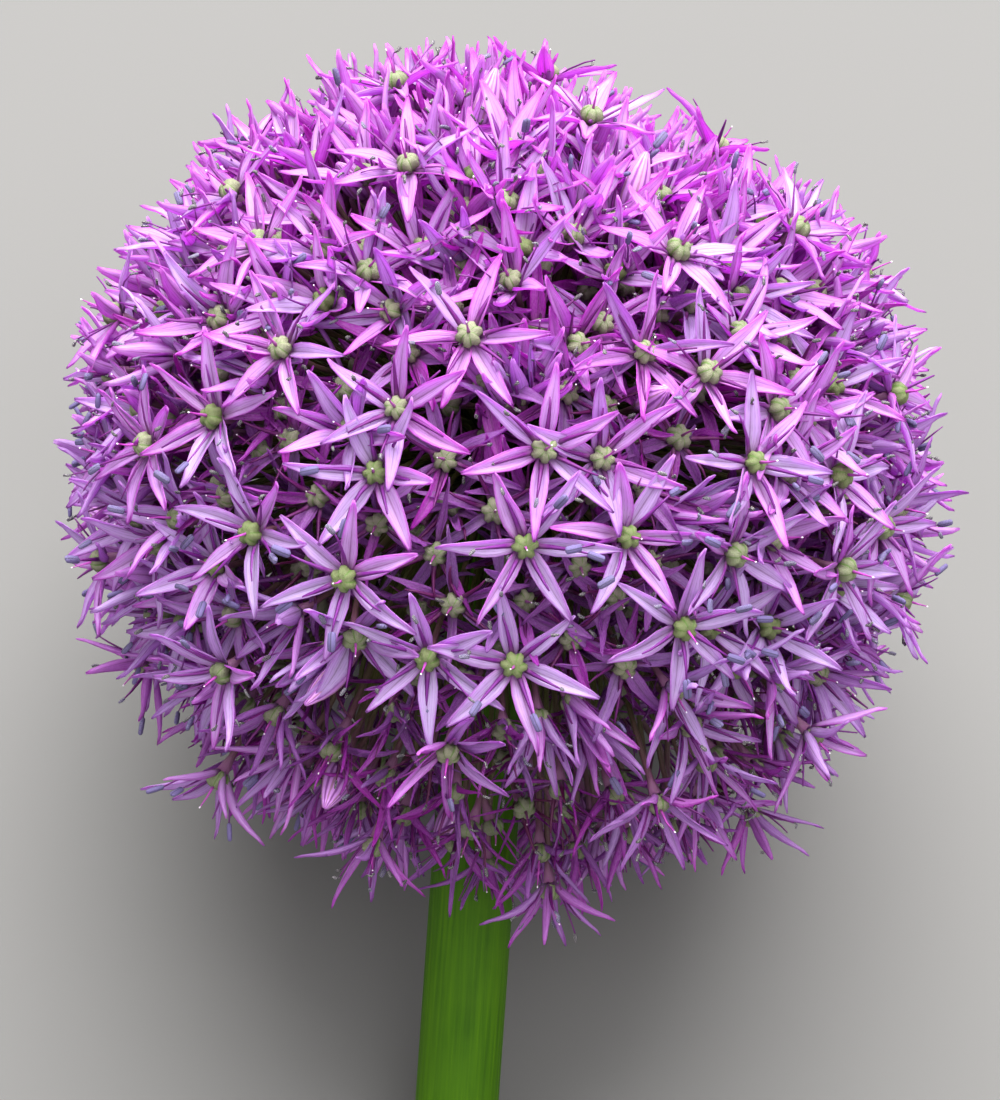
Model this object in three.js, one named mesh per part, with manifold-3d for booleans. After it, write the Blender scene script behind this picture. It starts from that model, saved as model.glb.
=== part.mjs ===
// An allium flower head, picked with a short length of its stalk and lying on its side.
// A thick stalk ends in a round receptacle at the middle of the head. Thin flower stalks
// (pedicels) spread from it in every direction, and each one ends in a floret: a three-lobed
// ovary, six narrow tepals in a star and six stamens. Millimetres, +Z up, with the origin on
// the surface under the middle of the part.
import * as THREE from "three";
import { mergeVertices } from "three/addons/utils/BufferGeometryUtils.js";
import Module from "manifold-3d";

const wasm = await Module();
wasm.setup();

// Driving dimensions, in millimetres
const HEAD_HEIGHT = 76.5; // middle of the head above the surface, which presses it a little flat
const OVARY_REACH = 75; // middle of the head to the middle of an open floret's ovary
const BUD_REACH = 69; // the same for the middle of a bud, which sits lower
const STALK_LENGTH = 130; // middle of the head to the cut
const STALK_RADIUS = 7.5;
const CUT_BEVEL = 0.6;
const RECEPTACLE_RADIUS = 12;
const PEDICEL_RADIUS = 0.6;
const PEDICEL_SIDES = 4;
const SEAT_GAP = 0.42; // between the receptacle's ball and the middle of a pedicel's end
const OVARY_RADIUS = 2.2;
const OVARY_HEIGHT = 0.85; // as a share of its width
const LOBE_SWELL = 0.16; // how far a lobe stands out, as a share of the radius
const STAR_RADIUS = 13.5; // ovary's axis to a tepal's tip
const TEPAL_ROOT = [0.6, 0, -1.2]; // where a tepal starts, inside the ovary
const TEPAL_HALF_WIDTH = 1.9;
const TEPAL_WIDEST = 0.36; // share of the way out at which a tepal is widest
const TEPAL_ARCH = 0.5; // its edges there, above the middle of the ovary
const TEPAL_TROUGH = 0.5; // its midrib there, below its edges
const TEPAL_HALF_THICKNESS = 0.4;
const TEPAL_TIP_RISE = 1.6; // its tip, above the middle of the ovary
const STAMEN_ROOT = [0.9, 0, -0.6]; // where a stamen starts, inside the ovary
const STAMEN_SPREAD = 5.6; // ovary's axis to an anther's tip
const STAMEN_RISE = 6.2; // ovary's middle to an anther's tip, along the axis
const ANTHER_PLACE = 0.78; // share of the way along a stamen at which its anther is thickest
const ANTHER_RADIUS = 0.75;
const ANTHER_BACK = 0.3; // its two inner corners, nearer to the axis
const ANTHER_FRONT = 0.6; // its outer corner, further out
const BUD_LENGTH = 11;
const BUD_RADIUS = 2.6;
const BUD_SIDES = 6;
// A bud's outline from its base to its tip: its share of the radius, and its place along
// the bud from -1 to 1
const BUD_OUTLINE = [[0, -1], [0.8, -0.75], [1, -0.2], [0.75, 0.4], [0.3, 0.85], [0, 1]];

// Counts and spacing
const FLORET_COUNT = 55;
const TEPAL_COUNT = 6;
const LOBE_COUNT = 3;
const STALK_SIDES = 24;
const FLORET_SPACING = 31.5; // least distance between two ovaries, in millimetres
const BUD_SPACING = 17.5; // least distance from a bud to an ovary, in millimetres
const LATTICE_COUNT = 900; // evenly spread directions that free places are looked for among
const GOLDEN_ANGLE = Math.PI * (3 - Math.sqrt(5));
const BARE_ANGLE = THREE.MathUtils.degToRad(19); // no floret is nearer to the stalk than this
const SHOULDER_ANGLE = THREE.MathUtils.degToRad(52); // no pedicel starts nearer to the stalk

// The view that the front florets are placed in: pixels from the top left of the picture,
// seen from well in front of the head, a little above its widest part.
const VIEW_DISTANCE = 600; // millimetres, from the middle of the head
const VIEW_LIFT = THREE.MathUtils.degToRad(5); // above the head's widest part
const VIEW_ROLL = THREE.MathUtils.degToRad(3.2); // the stalk leans this far to the left
const VIEW_CENTRE = [500, 485]; // pixels
const VIEW_FOCAL = 3383; // pixels
const FRONT_FLORETS = [
  [526, 546], [344, 582], [688, 627], [756, 459], [278, 351],
  [467, 335], [851, 566], [679, 242],
]; // pixels, the middle of each ovary
const FRONT_BUDS = [
  [522, 390], [650, 397], [678, 516], [335, 682],
]; // pixels, the middle of each bud

// Four florets carry the head. They surround the lowest point, this far from it.
const RESTING_ANGLE = THREE.MathUtils.degToRad(16);
const RESTING_COUNT = 4;

const TEPAL_PURPLE = 0xb25cb8;
const BUD_PURPLE = 0x9a4aa4;
const STALK_GREEN = 0x7c8a3f;
const BALL_STEPS = 7; // rings of corners on the receptacle

const floretMaterial = new THREE.MeshStandardMaterial({ color: TEPAL_PURPLE, roughness: 0.55 });
const budMaterial = new THREE.MeshStandardMaterial({ color: BUD_PURPLE, roughness: 0.5 });
const stalkMaterial = new THREE.MeshStandardMaterial({ color: STALK_GREEN, roughness: 0.5 });

const UP = new THREE.Vector3(0, 0, 1);

// The stalk's tilt, which lays the lower edge of its cut end on the surface
const EDGE_LENGTH = STALK_LENGTH - CUT_BEVEL;
const STALK_TILT = Math.asin(HEAD_HEIGHT / Math.hypot(EDGE_LENGTH, STALK_RADIUS))
  - Math.atan(STALK_RADIUS / EDGE_LENGTH);
const headTop = new THREE.Vector3(0, Math.cos(STALK_TILT), Math.sin(STALK_TILT));

// A closed geometry becomes a solid that can be joined to others.
function solidOf(geometry) {
  const bare = geometry.clone();
  bare.deleteAttribute("normal");
  bare.deleteAttribute("uv");
  const merged = mergeVertices(bare, 1e-4);
  return new wasm.Manifold(new wasm.Mesh({
    numProp: 3,
    vertProperties: merged.getAttribute("position").array,
    triVerts: new Uint32Array(merged.index.array),
  }));
}

function geometryOf(solid) {
  const mesh = solid.getMesh();
  const geometry = new THREE.BufferGeometry();
  geometry.setAttribute("position", new THREE.BufferAttribute(mesh.vertProperties, 3));
  geometry.setIndex(new THREE.BufferAttribute(mesh.triVerts, 1));
  geometry.computeVertexNormals();
  return geometry;
}

// A long pointed body: a start, a ring of corners round its thickest part, and a tip.
function spindle(start, ring, tip) {
  const points = [start, ...ring, tip];
  const last = points.length - 1;
  const index = [];
  ring.forEach((corner, i) => {
    const here = i + 1;
    const next = ((i + 1) % ring.length) + 1;
    index.push(0, next, here, last, here, next);
  });
  const geometry = new THREE.BufferGeometry();
  geometry.setAttribute("position", new THREE.Float32BufferAttribute(points.flat(), 3));
  geometry.setIndex(index);
  return geometry;
}

// A tepal runs outwards along +X: widest a third of the way out, arched, and pointed.
function tepalGeometry() {
  const widest = STAR_RADIUS * TEPAL_WIDEST;
  const midrib = TEPAL_ARCH - TEPAL_TROUGH;
  return spindle(
    TEPAL_ROOT,
    [
      [widest, -TEPAL_HALF_WIDTH, TEPAL_ARCH],
      [widest, 0, midrib - TEPAL_HALF_THICKNESS],
      [widest, TEPAL_HALF_WIDTH, TEPAL_ARCH],
      [widest, 0, midrib + TEPAL_HALF_THICKNESS],
    ],
    [STAR_RADIUS, 0, TEPAL_TIP_RISE],
  );
}

// A stamen rises over the tepal that it stands in front of, thickest at its anther.
function stamenGeometry() {
  const out = STAMEN_SPREAD * ANTHER_PLACE;
  const rise = STAMEN_RISE * ANTHER_PLACE;
  return spindle(
    STAMEN_ROOT,
    [
      [out - ANTHER_BACK, -ANTHER_RADIUS, rise],
      [out + ANTHER_FRONT, 0, rise - ANTHER_RADIUS],
      [out - ANTHER_BACK, ANTHER_RADIUS, rise],
    ],
    [STAMEN_SPREAD, 0, STAMEN_RISE],
  );
}

// The ovary has three lobes. Its profile is a low dome over a short cup.
function ovaryGeometry() {
  const lobed = new THREE.SphereGeometry(OVARY_RADIUS, 2 * LOBE_COUNT, 3);
  const place = lobed.getAttribute("position");
  for (let i = 0; i < place.count; i += 1) {
    const turn = Math.atan2(place.getZ(i), place.getX(i));
    const swell = 1 + LOBE_SWELL * Math.cos(LOBE_COUNT * turn);
    const low = place.getY(i) * OVARY_HEIGHT;
    place.setXYZ(i, place.getX(i) * swell, low, place.getZ(i) * swell);
  }
  return lobed.rotateX(Math.PI / 2).rotateZ(Math.PI / TEPAL_COUNT);
}

// Ovary, tepals and stamens as one solid. The middle of the ovary is at 0, 0, 0 and the
// flower faces +Z.
function bloomSolid() {
  let bloom = solidOf(ovaryGeometry());
  for (let i = 0; i < TEPAL_COUNT; i += 1) {
    const turn = (i * 2 * Math.PI) / TEPAL_COUNT;
    bloom = bloom.add(solidOf(tepalGeometry().rotateZ(turn)));
    bloom = bloom.add(solidOf(stamenGeometry().rotateZ(turn)));
  }
  return bloom;
}

// A closed bud, which points along +Z
function budGeometry() {
  const profile = BUD_OUTLINE.map(([across, along]) => new THREE.Vector2(
    across * BUD_RADIUS,
    along * BUD_LENGTH * 0.5,
  ));
  return new THREE.LatheGeometry(profile, BUD_SIDES).rotateX(Math.PI / 2);
}

// A straight four-sided pedicel between two points of a floret's own frame
function pedicelSolid(from, to) {
  const along = to.clone().sub(from);
  const body = new THREE.CylinderGeometry(PEDICEL_RADIUS, PEDICEL_RADIUS, along.length(), PEDICEL_SIDES);
  body.translate(0, along.length() / 2, 0);
  body.applyQuaternion(new THREE.Quaternion().setFromUnitVectors(
    new THREE.Vector3(0, 1, 0),
    along.normalize(),
  ));
  return solidOf(body.translate(from.x, from.y, from.z));
}

// Where a floret's pedicel leaves the receptacle. Near the stalk it leaves from the
// receptacle's shoulder, and it runs straight out from there.
function pedicelStart(direction) {
  const fromStalk = direction.angleTo(headTop.clone().negate());
  const share = (fromStalk - BARE_ANGLE) / (Math.PI - BARE_ANGLE);
  const startAngle = SHOULDER_ANGLE + share * (Math.PI - SHOULDER_ANGLE);
  const side = direction.clone().projectOnPlane(headTop).normalize();
  return side.multiplyScalar(Math.sin(startAngle))
    .addScaledVector(headTop, -Math.cos(startAngle))
    .multiplyScalar(RECEPTACLE_RADIUS + SEAT_GAP);
}

// The turn that faces a flower along its direction, after a roll about its own axis
function facing(direction, roll) {
  const face = new THREE.Quaternion().setFromUnitVectors(UP, direction);
  return face.multiply(new THREE.Quaternion().setFromAxisAngle(UP, roll));
}

// How far out a flower sits: its full reach, or less where it would pass the surface.
// Its lowest point then just touches.
function reachOf(direction, turn, geometry, fullReach) {
  const place = geometry.getAttribute("position");
  const point = new THREE.Vector3();
  let lowest = 0;
  for (let i = 0; i < place.count; i += 1) {
    lowest = Math.min(lowest, point.fromBufferAttribute(place, i).applyQuaternion(turn).z);
  }
  if (fullReach * direction.z + lowest >= -HEAD_HEIGHT) return fullReach;
  return (HEAD_HEIGHT + lowest) / -direction.z;
}

// The stalk and the receptacle that it swells into, turned about the stalk's own axis
function stalkGeometry() {
  const neckAngle = Math.asin(STALK_RADIUS / RECEPTACLE_RADIUS);
  const profile = [
    new THREE.Vector2(0, -STALK_LENGTH),
    new THREE.Vector2(STALK_RADIUS - CUT_BEVEL, -STALK_LENGTH),
    new THREE.Vector2(STALK_RADIUS, -STALK_LENGTH + CUT_BEVEL),
    new THREE.Vector2(STALK_RADIUS, -STALK_LENGTH / 2),
  ];
  for (let i = 0; i < BALL_STEPS; i += 1) {
    const angle = neckAngle + ((Math.PI - neckAngle) * i) / BALL_STEPS;
    profile.push(new THREE.Vector2(
      RECEPTACLE_RADIUS * Math.sin(angle),
      -RECEPTACLE_RADIUS * Math.cos(angle),
    ));
  }
  profile.push(new THREE.Vector2(0, RECEPTACLE_RADIUS));
  return new THREE.LatheGeometry(profile, STALK_SIDES);
}

// The direction from the middle of the head to a place on it that the picture shows
function directionOf([across, down], reach) {
  const toViewer = headTop.clone().cross(new THREE.Vector3(1, 0, 0)).negate()
    .multiplyScalar(Math.cos(VIEW_LIFT)).addScaledVector(headTop, Math.sin(VIEW_LIFT));
  const level = new THREE.Vector3(1, 0, 0);
  const upward = toViewer.clone().cross(level);
  const right = level.clone().applyAxisAngle(toViewer, VIEW_ROLL);
  const up = upward.clone().applyAxisAngle(toViewer, VIEW_ROLL);
  const ray = toViewer.clone().negate()
    .addScaledVector(right, (across - VIEW_CENTRE[0]) / VIEW_FOCAL)
    .addScaledVector(up, (VIEW_CENTRE[1] - down) / VIEW_FOCAL)
    .normalize();
  const eye = toViewer.clone().multiplyScalar(VIEW_DISTANCE);
  const nearest = -eye.dot(ray);
  const depth = Math.sqrt(nearest ** 2 - VIEW_DISTANCE ** 2 + reach ** 2);
  return eye.addScaledVector(ray, nearest - depth).normalize();
}

// The florets that carry the head, round its lowest point
function restingDirections() {
  return Array.from({ length: RESTING_COUNT }, (_, i) => {
    const turn = ((i + 0.5) * 2 * Math.PI) / RESTING_COUNT;
    const out = Math.sin(RESTING_ANGLE);
    return new THREE.Vector3(
      out * Math.cos(turn),
      out * Math.sin(turn),
      -Math.cos(RESTING_ANGLE),
    );
  });
}

// The evenly spread direction with this number, counted from the top of the head
function latticeDirection(i) {
  const along = 1 - (2 * i + 1) / LATTICE_COUNT;
  const out = Math.sqrt(1 - along ** 2);
  const turn = i * GOLDEN_ANGLE;
  return new THREE.Vector3(out * Math.cos(turn), out * Math.sin(turn), along)
    .applyQuaternion(new THREE.Quaternion().setFromUnitVectors(UP, headTop));
}

// The buds first, then every floret whose place is free
const budDirections = FRONT_BUDS.map((pixel) => directionOf(pixel, BUD_REACH));
const floretDirections = [
  ...restingDirections(),
  ...FRONT_FLORETS.map((pixel) => directionOf(pixel, OVARY_REACH)),
];
for (let i = 0; i < LATTICE_COUNT && floretDirections.length < FLORET_COUNT; i += 1) {
  const direction = latticeDirection(i);
  const clearOfFlorets = floretDirections.every(
    (other) => direction.distanceTo(other) * OVARY_REACH >= FLORET_SPACING,
  );
  const clearOfBuds = budDirections.every(
    (other) => direction.distanceTo(other) * OVARY_REACH >= BUD_SPACING,
  );
  const clearOfStalk = direction.angleTo(headTop) <= Math.PI - BARE_ANGLE;
  if (clearOfFlorets && clearOfBuds && clearOfStalk) floretDirections.push(direction);
}

// One flower on its pedicel, as a mesh placed round the middle of the head
function flowerMesh(name, head, direction, roll, fullReach, material) {
  const turn = facing(direction, roll);
  const reach = reachOf(direction, turn, geometryOf(head), fullReach);
  const middle = direction.clone().multiplyScalar(reach);
  const start = pedicelStart(direction).sub(middle).applyQuaternion(turn.clone().invert());
  const whole = head.add(pedicelSolid(start, new THREE.Vector3(0, 0, 0)));
  const mesh = new THREE.Mesh(geometryOf(whole), material);
  mesh.name = name;
  mesh.position.copy(middle);
  mesh.quaternion.copy(turn);
  return mesh;
}

const head = new THREE.Group();

const stalk = new THREE.Mesh(stalkGeometry(), stalkMaterial);
stalk.name = "flower_stalk";
stalk.quaternion.setFromUnitVectors(new THREE.Vector3(0, 1, 0), headTop);
head.add(stalk);

const bloom = bloomSolid();
floretDirections.forEach((direction, i) => {
  const name = `floret_${String(i + 1).padStart(2, "0")}`;
  head.add(flowerMesh(name, bloom, direction, i * GOLDEN_ANGLE, OVARY_REACH, floretMaterial));
});

const bud = solidOf(budGeometry());
budDirections.forEach((direction, i) => {
  head.add(flowerMesh(`bud_${i + 1}`, bud, direction, 0, BUD_REACH, budMaterial));
});

// The head is lifted onto the surface, and the part's middle is brought over the origin.
const part = new THREE.Group();
part.add(head);
part.updateMatrixWorld(true);
const box = new THREE.Box3().setFromObject(part, true);
const middle = box.getCenter(new THREE.Vector3());
head.position.set(-middle.x, -middle.y, HEAD_HEIGHT);

export default part;
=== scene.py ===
# %% [markdown]
# # An allium flower head, lying on its side
#
# The real thing is a ball of many hundred small florets. Each floret is a star of six narrow
# tepals with six stamens and a three-lobed green ovary, and it stands on a thin pedicel that
# grows from the swollen end of a thick green stalk. Nobody models so many flowers one by one,
# and there is no need to: they are all the same few organs, bent a little differently. So
# this lesson models one tepal, one filament, one anther, one ovary, one style, one pedicel
# and one bud with Blender's mesh tools, and then grows every floret from bent copies of them.

# %% Load the fixed frame
import math

import bpy
import numpy as np
from mathutils import Matrix, Vector


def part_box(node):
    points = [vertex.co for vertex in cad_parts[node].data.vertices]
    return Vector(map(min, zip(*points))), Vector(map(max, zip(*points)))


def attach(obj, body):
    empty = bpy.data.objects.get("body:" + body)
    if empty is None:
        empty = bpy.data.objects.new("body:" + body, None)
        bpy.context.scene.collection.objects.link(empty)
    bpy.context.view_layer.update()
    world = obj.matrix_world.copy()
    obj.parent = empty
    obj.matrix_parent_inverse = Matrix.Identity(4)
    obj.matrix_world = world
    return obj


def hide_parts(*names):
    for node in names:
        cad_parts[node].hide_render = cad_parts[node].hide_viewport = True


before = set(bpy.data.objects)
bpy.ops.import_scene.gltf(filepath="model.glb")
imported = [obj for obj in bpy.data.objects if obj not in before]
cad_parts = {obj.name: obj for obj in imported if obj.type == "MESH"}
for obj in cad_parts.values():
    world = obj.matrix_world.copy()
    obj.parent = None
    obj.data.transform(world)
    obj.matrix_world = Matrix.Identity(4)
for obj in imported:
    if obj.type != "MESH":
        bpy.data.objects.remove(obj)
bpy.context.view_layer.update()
MM = 0.001
rng = np.random.default_rng(21)

# %% [markdown]
# ## Where the head is
#
# Everything here is placed round one point, the middle of the ball. The frame's stalk tells
# where that point is: the cut end of the stalk lies on the surface, and the ball's middle is
# one stalk's length up along the tilted axis.

# %% Find the middle of the head and the direction of its top
HEAD_HEIGHT = 76.5 * MM
STALK_LENGTH = 130 * MM
STALK_RADIUS = 7.5 * MM
CUT_BEVEL = 0.6 * MM
RECEPTACLE_RADIUS = 12 * MM

edge_length = STALK_LENGTH - CUT_BEVEL
stalk_tilt = (math.asin(HEAD_HEIGHT / math.hypot(edge_length, STALK_RADIUS))
              - math.atan(STALK_RADIUS / edge_length))
head_top = np.array([0.0, math.cos(stalk_tilt), math.sin(stalk_tilt)])
stalk_low, stalk_high = (np.array(corner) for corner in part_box("flower_stalk"))
cut_reach = (STALK_LENGTH * math.cos(stalk_tilt)
             + (STALK_RADIUS - CUT_BEVEL) * math.sin(stalk_tilt))
head = np.array([(stalk_low[0] + stalk_high[0]) / 2, stalk_low[1] + cut_reach, HEAD_HEIGHT])
print("head middle", head.round(5), "tilt", round(math.degrees(stalk_tilt), 2))

# %% [markdown]
# ## The camera
#
# The photograph looks at the ball square to the stalk, from a little above its widest part,
# with a long lens. The head lies down here, so the same view comes from above: the camera
# looks down on it, with the stalk running towards the bottom of the picture. A floret at the
# front measures about 176 pixels and one at the rim about 152, and that ratio gives a
# distance of 600 mm.

# %% Set up the camera
VIEW_DISTANCE = 600 * MM
VIEW_LIFT = math.radians(5)
VIEW_ROLL = math.radians(4.0)
PICTURE_SIZE = (1000, 1100)
HEAD_PIXEL = (500, 485)
FOCAL_PIXELS = 3383
SENSOR_MM = 36

square_on = np.array([0.0, -math.sin(stalk_tilt), math.cos(stalk_tilt)])
to_viewer = math.cos(VIEW_LIFT) * square_on + math.sin(VIEW_LIFT) * head_top
roll = Matrix.Rotation(VIEW_ROLL, 3, Vector(to_viewer))
view_right = np.array(roll @ Vector((1, 0, 0)))
view_up = np.cross(to_viewer, view_right)
eye = head + to_viewer * VIEW_DISTANCE

camera_data = bpy.data.cameras.new("camera")
camera_data.sensor_fit = "HORIZONTAL"
camera_data.sensor_width = SENSOR_MM
camera_data.lens = SENSOR_MM * FOCAL_PIXELS / PICTURE_SIZE[0]
camera_data.shift_y = (HEAD_PIXEL[1] - PICTURE_SIZE[1] / 2) / PICTURE_SIZE[0]
camera_data.clip_end = 20  # metres, well past the floor that the picture shows
camera = bpy.data.objects.new("camera", camera_data)
axes = np.column_stack([view_right, view_up, to_viewer])
camera.matrix_world = Matrix.Translation(Vector(eye)) @ Matrix(axes.tolist()).to_4x4()
bpy.context.scene.collection.objects.link(camera)
bpy.context.scene.camera = camera
bpy.context.scene.view_settings.view_transform = "Standard"
print("camera at", eye.round(4), "lens", round(camera_data.lens, 1))

# %% [markdown]
# ## A hand tool for the organs
#
# A filament, an anther, a style and a pedicel are all slim round bodies. By hand you would
# add a small disc, then extrude it and scale each new ring. This helper does just that, one
# ring at a time, along +X from 0 to 1, with a width of 1 either side. Every organ is drawn at
# that unit size, because the same shape is later grown short or long, thin or thick.

# %% Helpers that model one organ
CLOSE = 0.01  # two places on a unit-size organ that are this near count as the same


def select_points(thing, wanted):
    """Selects the vertices for which wanted(co) is true, and leaves edit mode on."""
    bpy.ops.object.mode_set(mode="OBJECT")
    mesh = thing.data
    mesh.polygons.foreach_set("select", [False] * len(mesh.polygons))
    mesh.edges.foreach_set("select", [False] * len(mesh.edges))
    mesh.vertices.foreach_set("select", [bool(wanted(v.co)) for v in mesh.vertices])
    bpy.ops.object.mode_set(mode="EDIT")


def on_meridian(place, side):
    """True for a point off the axis that lies to this side of it, seen along the axis."""
    return place.length > CLOSE and side.dot(place.normalized()) > 0.999


def slim_organ(name, sides, rings):
    """A closed body along +X. Each ring is (place, half width, half thickness)."""
    bpy.ops.object.select_all(action="DESELECT")
    quarter = math.pi / 2
    bpy.ops.mesh.primitive_circle_add(vertices=sides, radius=1, fill_type="NGON",
                                      rotation=(quarter, 0, quarter))
    thing = bpy.context.object
    thing.name = name
    bpy.ops.object.transform_apply(location=False, rotation=True, scale=False)
    bpy.ops.object.mode_set(mode="EDIT")
    bpy.ops.mesh.select_all(action="SELECT")
    last_place, last_width, last_thickness = 0.0, 1.0, 1.0
    for count, (place, width, thickness) in enumerate(rings):
        if count:
            bpy.ops.mesh.extrude_region_move()
        bpy.ops.transform.translate(value=(place - last_place, 0, 0))
        bpy.ops.transform.resize(value=(1, width / last_width, thickness / last_thickness))
        last_place, last_width, last_thickness = place, width, thickness
    bpy.ops.mesh.select_all(action="SELECT")
    bpy.ops.mesh.normals_make_consistent(inside=False)
    bpy.ops.object.mode_set(mode="OBJECT")
    print(name, "has", len(thing.data.polygons), "faces")
    return thing


# %% [markdown]
# ## The tepal
#
# A tepal is a thin blade: narrow where it leaves the ovary, widest a third of the way out,
# drawn to a blunt hooded point, and creased along its midrib. It starts as a flat grid, whose
# own UV map is kept: it then runs across and along the blade however that is narrowed, which
# the veins will need. Scaling the rows gives the outline, lowering the middle columns gives
# the crease, and Solidify gives the blade its thickness.

# %% Model the tepal
TEPAL_ROWS = 7
TEPAL_COLUMNS = 4
TEPAL_OUTLINE = (0.48, 0.80, 1.00, 0.98, 0.82, 0.60, 0.38, 0.13)  # half width of each row
TEPAL_CREASE = (0.0, 0.22, 0.38)  # how far the edge, the quarter and the midrib lie down
TEPAL_HOOK = 0.28  # how far the tip stands up
TEPAL_SKIN = 0.11  # times the half width, so 0.17 mm on a full-grown tepal

bpy.ops.object.select_all(action="DESELECT")
bpy.ops.mesh.primitive_grid_add(x_subdivisions=TEPAL_ROWS, y_subdivisions=TEPAL_COLUMNS, size=1,
                                location=(0.5, 0, 0))
tepal = bpy.context.object
tepal.name = "tepal_shape"
bpy.ops.object.transform_apply(location=True, rotation=False, scale=False)
for column, crease in enumerate(TEPAL_CREASE):
    across = 0.5 - column / TEPAL_COLUMNS
    select_points(tepal, lambda co, a=across: abs(abs(co.y) - a) < CLOSE)
    bpy.ops.transform.translate(value=(0, 0, -crease))
for row, half_width in enumerate(TEPAL_OUTLINE):
    select_points(tepal, lambda co, r=row: abs(co.x - r / TEPAL_ROWS) < CLOSE)
    bpy.ops.transform.resize(value=(1, 2 * half_width, 0.25 + 0.75 * half_width),
                             center_override=(row / TEPAL_ROWS, 0, 0))
bpy.ops.transform.translate(value=(0, 0, TEPAL_HOOK))
bpy.ops.object.mode_set(mode="OBJECT")
skin = tepal.modifiers.new("skin", "SOLIDIFY")
skin.thickness = TEPAL_SKIN
skin.offset = 0
bpy.ops.object.modifier_apply(modifier="skin")
print("tepal has", len(tepal.data.polygons), "faces")

# %% [markdown]
# ## Stamens, style and pedicel
#
# A stamen is a flat filament, broad at its foot and thread-thin at its top, with an oblong
# anther that splits open along its length. The style is a short thread from the middle of the
# ovary, with a tiny wet stigma at its tip. The pedicel is a plain round stem that widens a
# little under the flower.

# %% Model the slim organs
filament = slim_organ("filament_shape", 4, [
    (0.0, 1.0, 0.45), (0.35, 0.78, 0.38), (0.75, 0.50, 0.34), (1.0, 0.30, 0.28),
])
anther = slim_organ("anther_shape", 6, [
    (0.0, 0.45, 0.35), (0.09, 0.90, 0.78), (0.5, 1.0, 0.85), (0.91, 0.90, 0.75), (1.0, 0.45, 0.35),
])
style = slim_organ("style_shape", 4, [
    (0.0, 1.0, 1.0), (0.55, 0.55, 0.55), (0.93, 0.30, 0.30), (0.96, 0.50, 0.50), (1.0, 0.3, 0.3),
])
pedicel = slim_organ("pedicel_shape", 5, [
    (0.0, 1.35, 1.35), (0.06, 1.0, 1.0), (0.3, 0.92, 0.92), (0.6, 0.92, 0.92),
    (0.85, 1.0, 1.0), (0.95, 1.25, 1.25), (1.0, 2.3, 2.3),
])

# %% [markdown]
# ## The ovary
#
# Seen from above the ovary is three lobes with deep seams between them, and each lobe has a
# shallow groove of its own, so it looks like six beads round a dimple. A sphere is squeezed
# meridian by meridian into that outline, flattened, and dimpled at its top.

# %% Model the ovary
LOBES = 3
OVARY_MERIDIANS = 18
LOBE_OUTLINE = (0.68, 0.97, 1.01, 0.78, 1.01, 0.97)  # from seam to seam
OVARY_HEIGHT = 0.80
OVARY_DIMPLE = 0.34

bpy.ops.object.select_all(action="DESELECT")
bpy.ops.mesh.primitive_uv_sphere_add(segments=OVARY_MERIDIANS, ring_count=6, radius=1)
ovary = bpy.context.object
ovary.name = "ovary_shape"
belt = next(v.co for v in ovary.data.vertices if abs(v.co.z) < CLOSE)
for meridian in range(OVARY_MERIDIANS):
    turn = math.atan2(belt.y, belt.x) + 2 * math.pi * meridian / OVARY_MERIDIANS
    side = Vector((math.cos(turn), math.sin(turn)))
    select_points(ovary, lambda co, s=side: on_meridian(co.xy, s))
    squeeze = LOBE_OUTLINE[meridian % len(LOBE_OUTLINE)]
    bpy.ops.transform.resize(value=(squeeze, squeeze, 1), center_override=(0, 0, 0))
select_points(ovary, lambda co: co.z > 1 - CLOSE)  # its top pole
bpy.ops.transform.translate(value=(0, 0, -OVARY_DIMPLE))
bpy.ops.mesh.select_all(action="SELECT")
bpy.ops.transform.resize(value=(1, 1, OVARY_HEIGHT), center_override=(0, 0, 0))
bpy.ops.object.mode_set(mode="OBJECT")
print("ovary has", len(ovary.data.polygons), "faces")

# %% [markdown]
# ## The bud
#
# A bud is a plump spindle: six tepals wrapped edge to edge, each with a raised midrib. A
# sphere with twelve meridians is stretched into it, and every second meridian is drawn in,
# to make the seams between the tepals.

# %% Model the bud
BUD_MERIDIANS = 12
BUD_SEAM = 0.84
BUD_RINGS = 8
BUD_ASIDE = 2  # finished rings wait this far along, where no ring of the sphere is left
# how far along each ring lies, and how wide it is, as a share of the widest
BUD_PROFILE = [(0.0, 0.0), (0.05, 0.50), (0.16, 0.86), (0.32, 1.0), (0.52, 0.96), (0.72, 0.74),
               (0.88, 0.44), (0.97, 0.24), (1.0, 0.10)]

bpy.ops.object.select_all(action="DESELECT")
bpy.ops.mesh.primitive_uv_sphere_add(segments=BUD_MERIDIANS, ring_count=BUD_RINGS, radius=1,
                                     rotation=(0, math.pi / 2, 0))
bud_shape = bpy.context.object
bud_shape.name = "bud_shape"
bpy.ops.object.transform_apply(location=False, rotation=True, scale=False)
for ring, (place, width) in enumerate(BUD_PROFILE):
    level = -math.cos(math.pi * ring / BUD_RINGS)
    radius = max(math.sin(math.pi * ring / BUD_RINGS), 0.001)
    select_points(bud_shape, lambda co, x=level: abs(co.x - x) < CLOSE)
    bpy.ops.transform.resize(value=(1, width / radius, width / radius), center_override=(0, 0, 0))
    bpy.ops.transform.translate(value=(place + BUD_ASIDE - level, 0, 0))
bpy.ops.mesh.select_all(action="SELECT")
bpy.ops.transform.translate(value=(-BUD_ASIDE, 0, 0))
bpy.ops.object.mode_set(mode="OBJECT")
rim_point = max(bud_shape.data.vertices, key=lambda v: v.co.z).co
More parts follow.
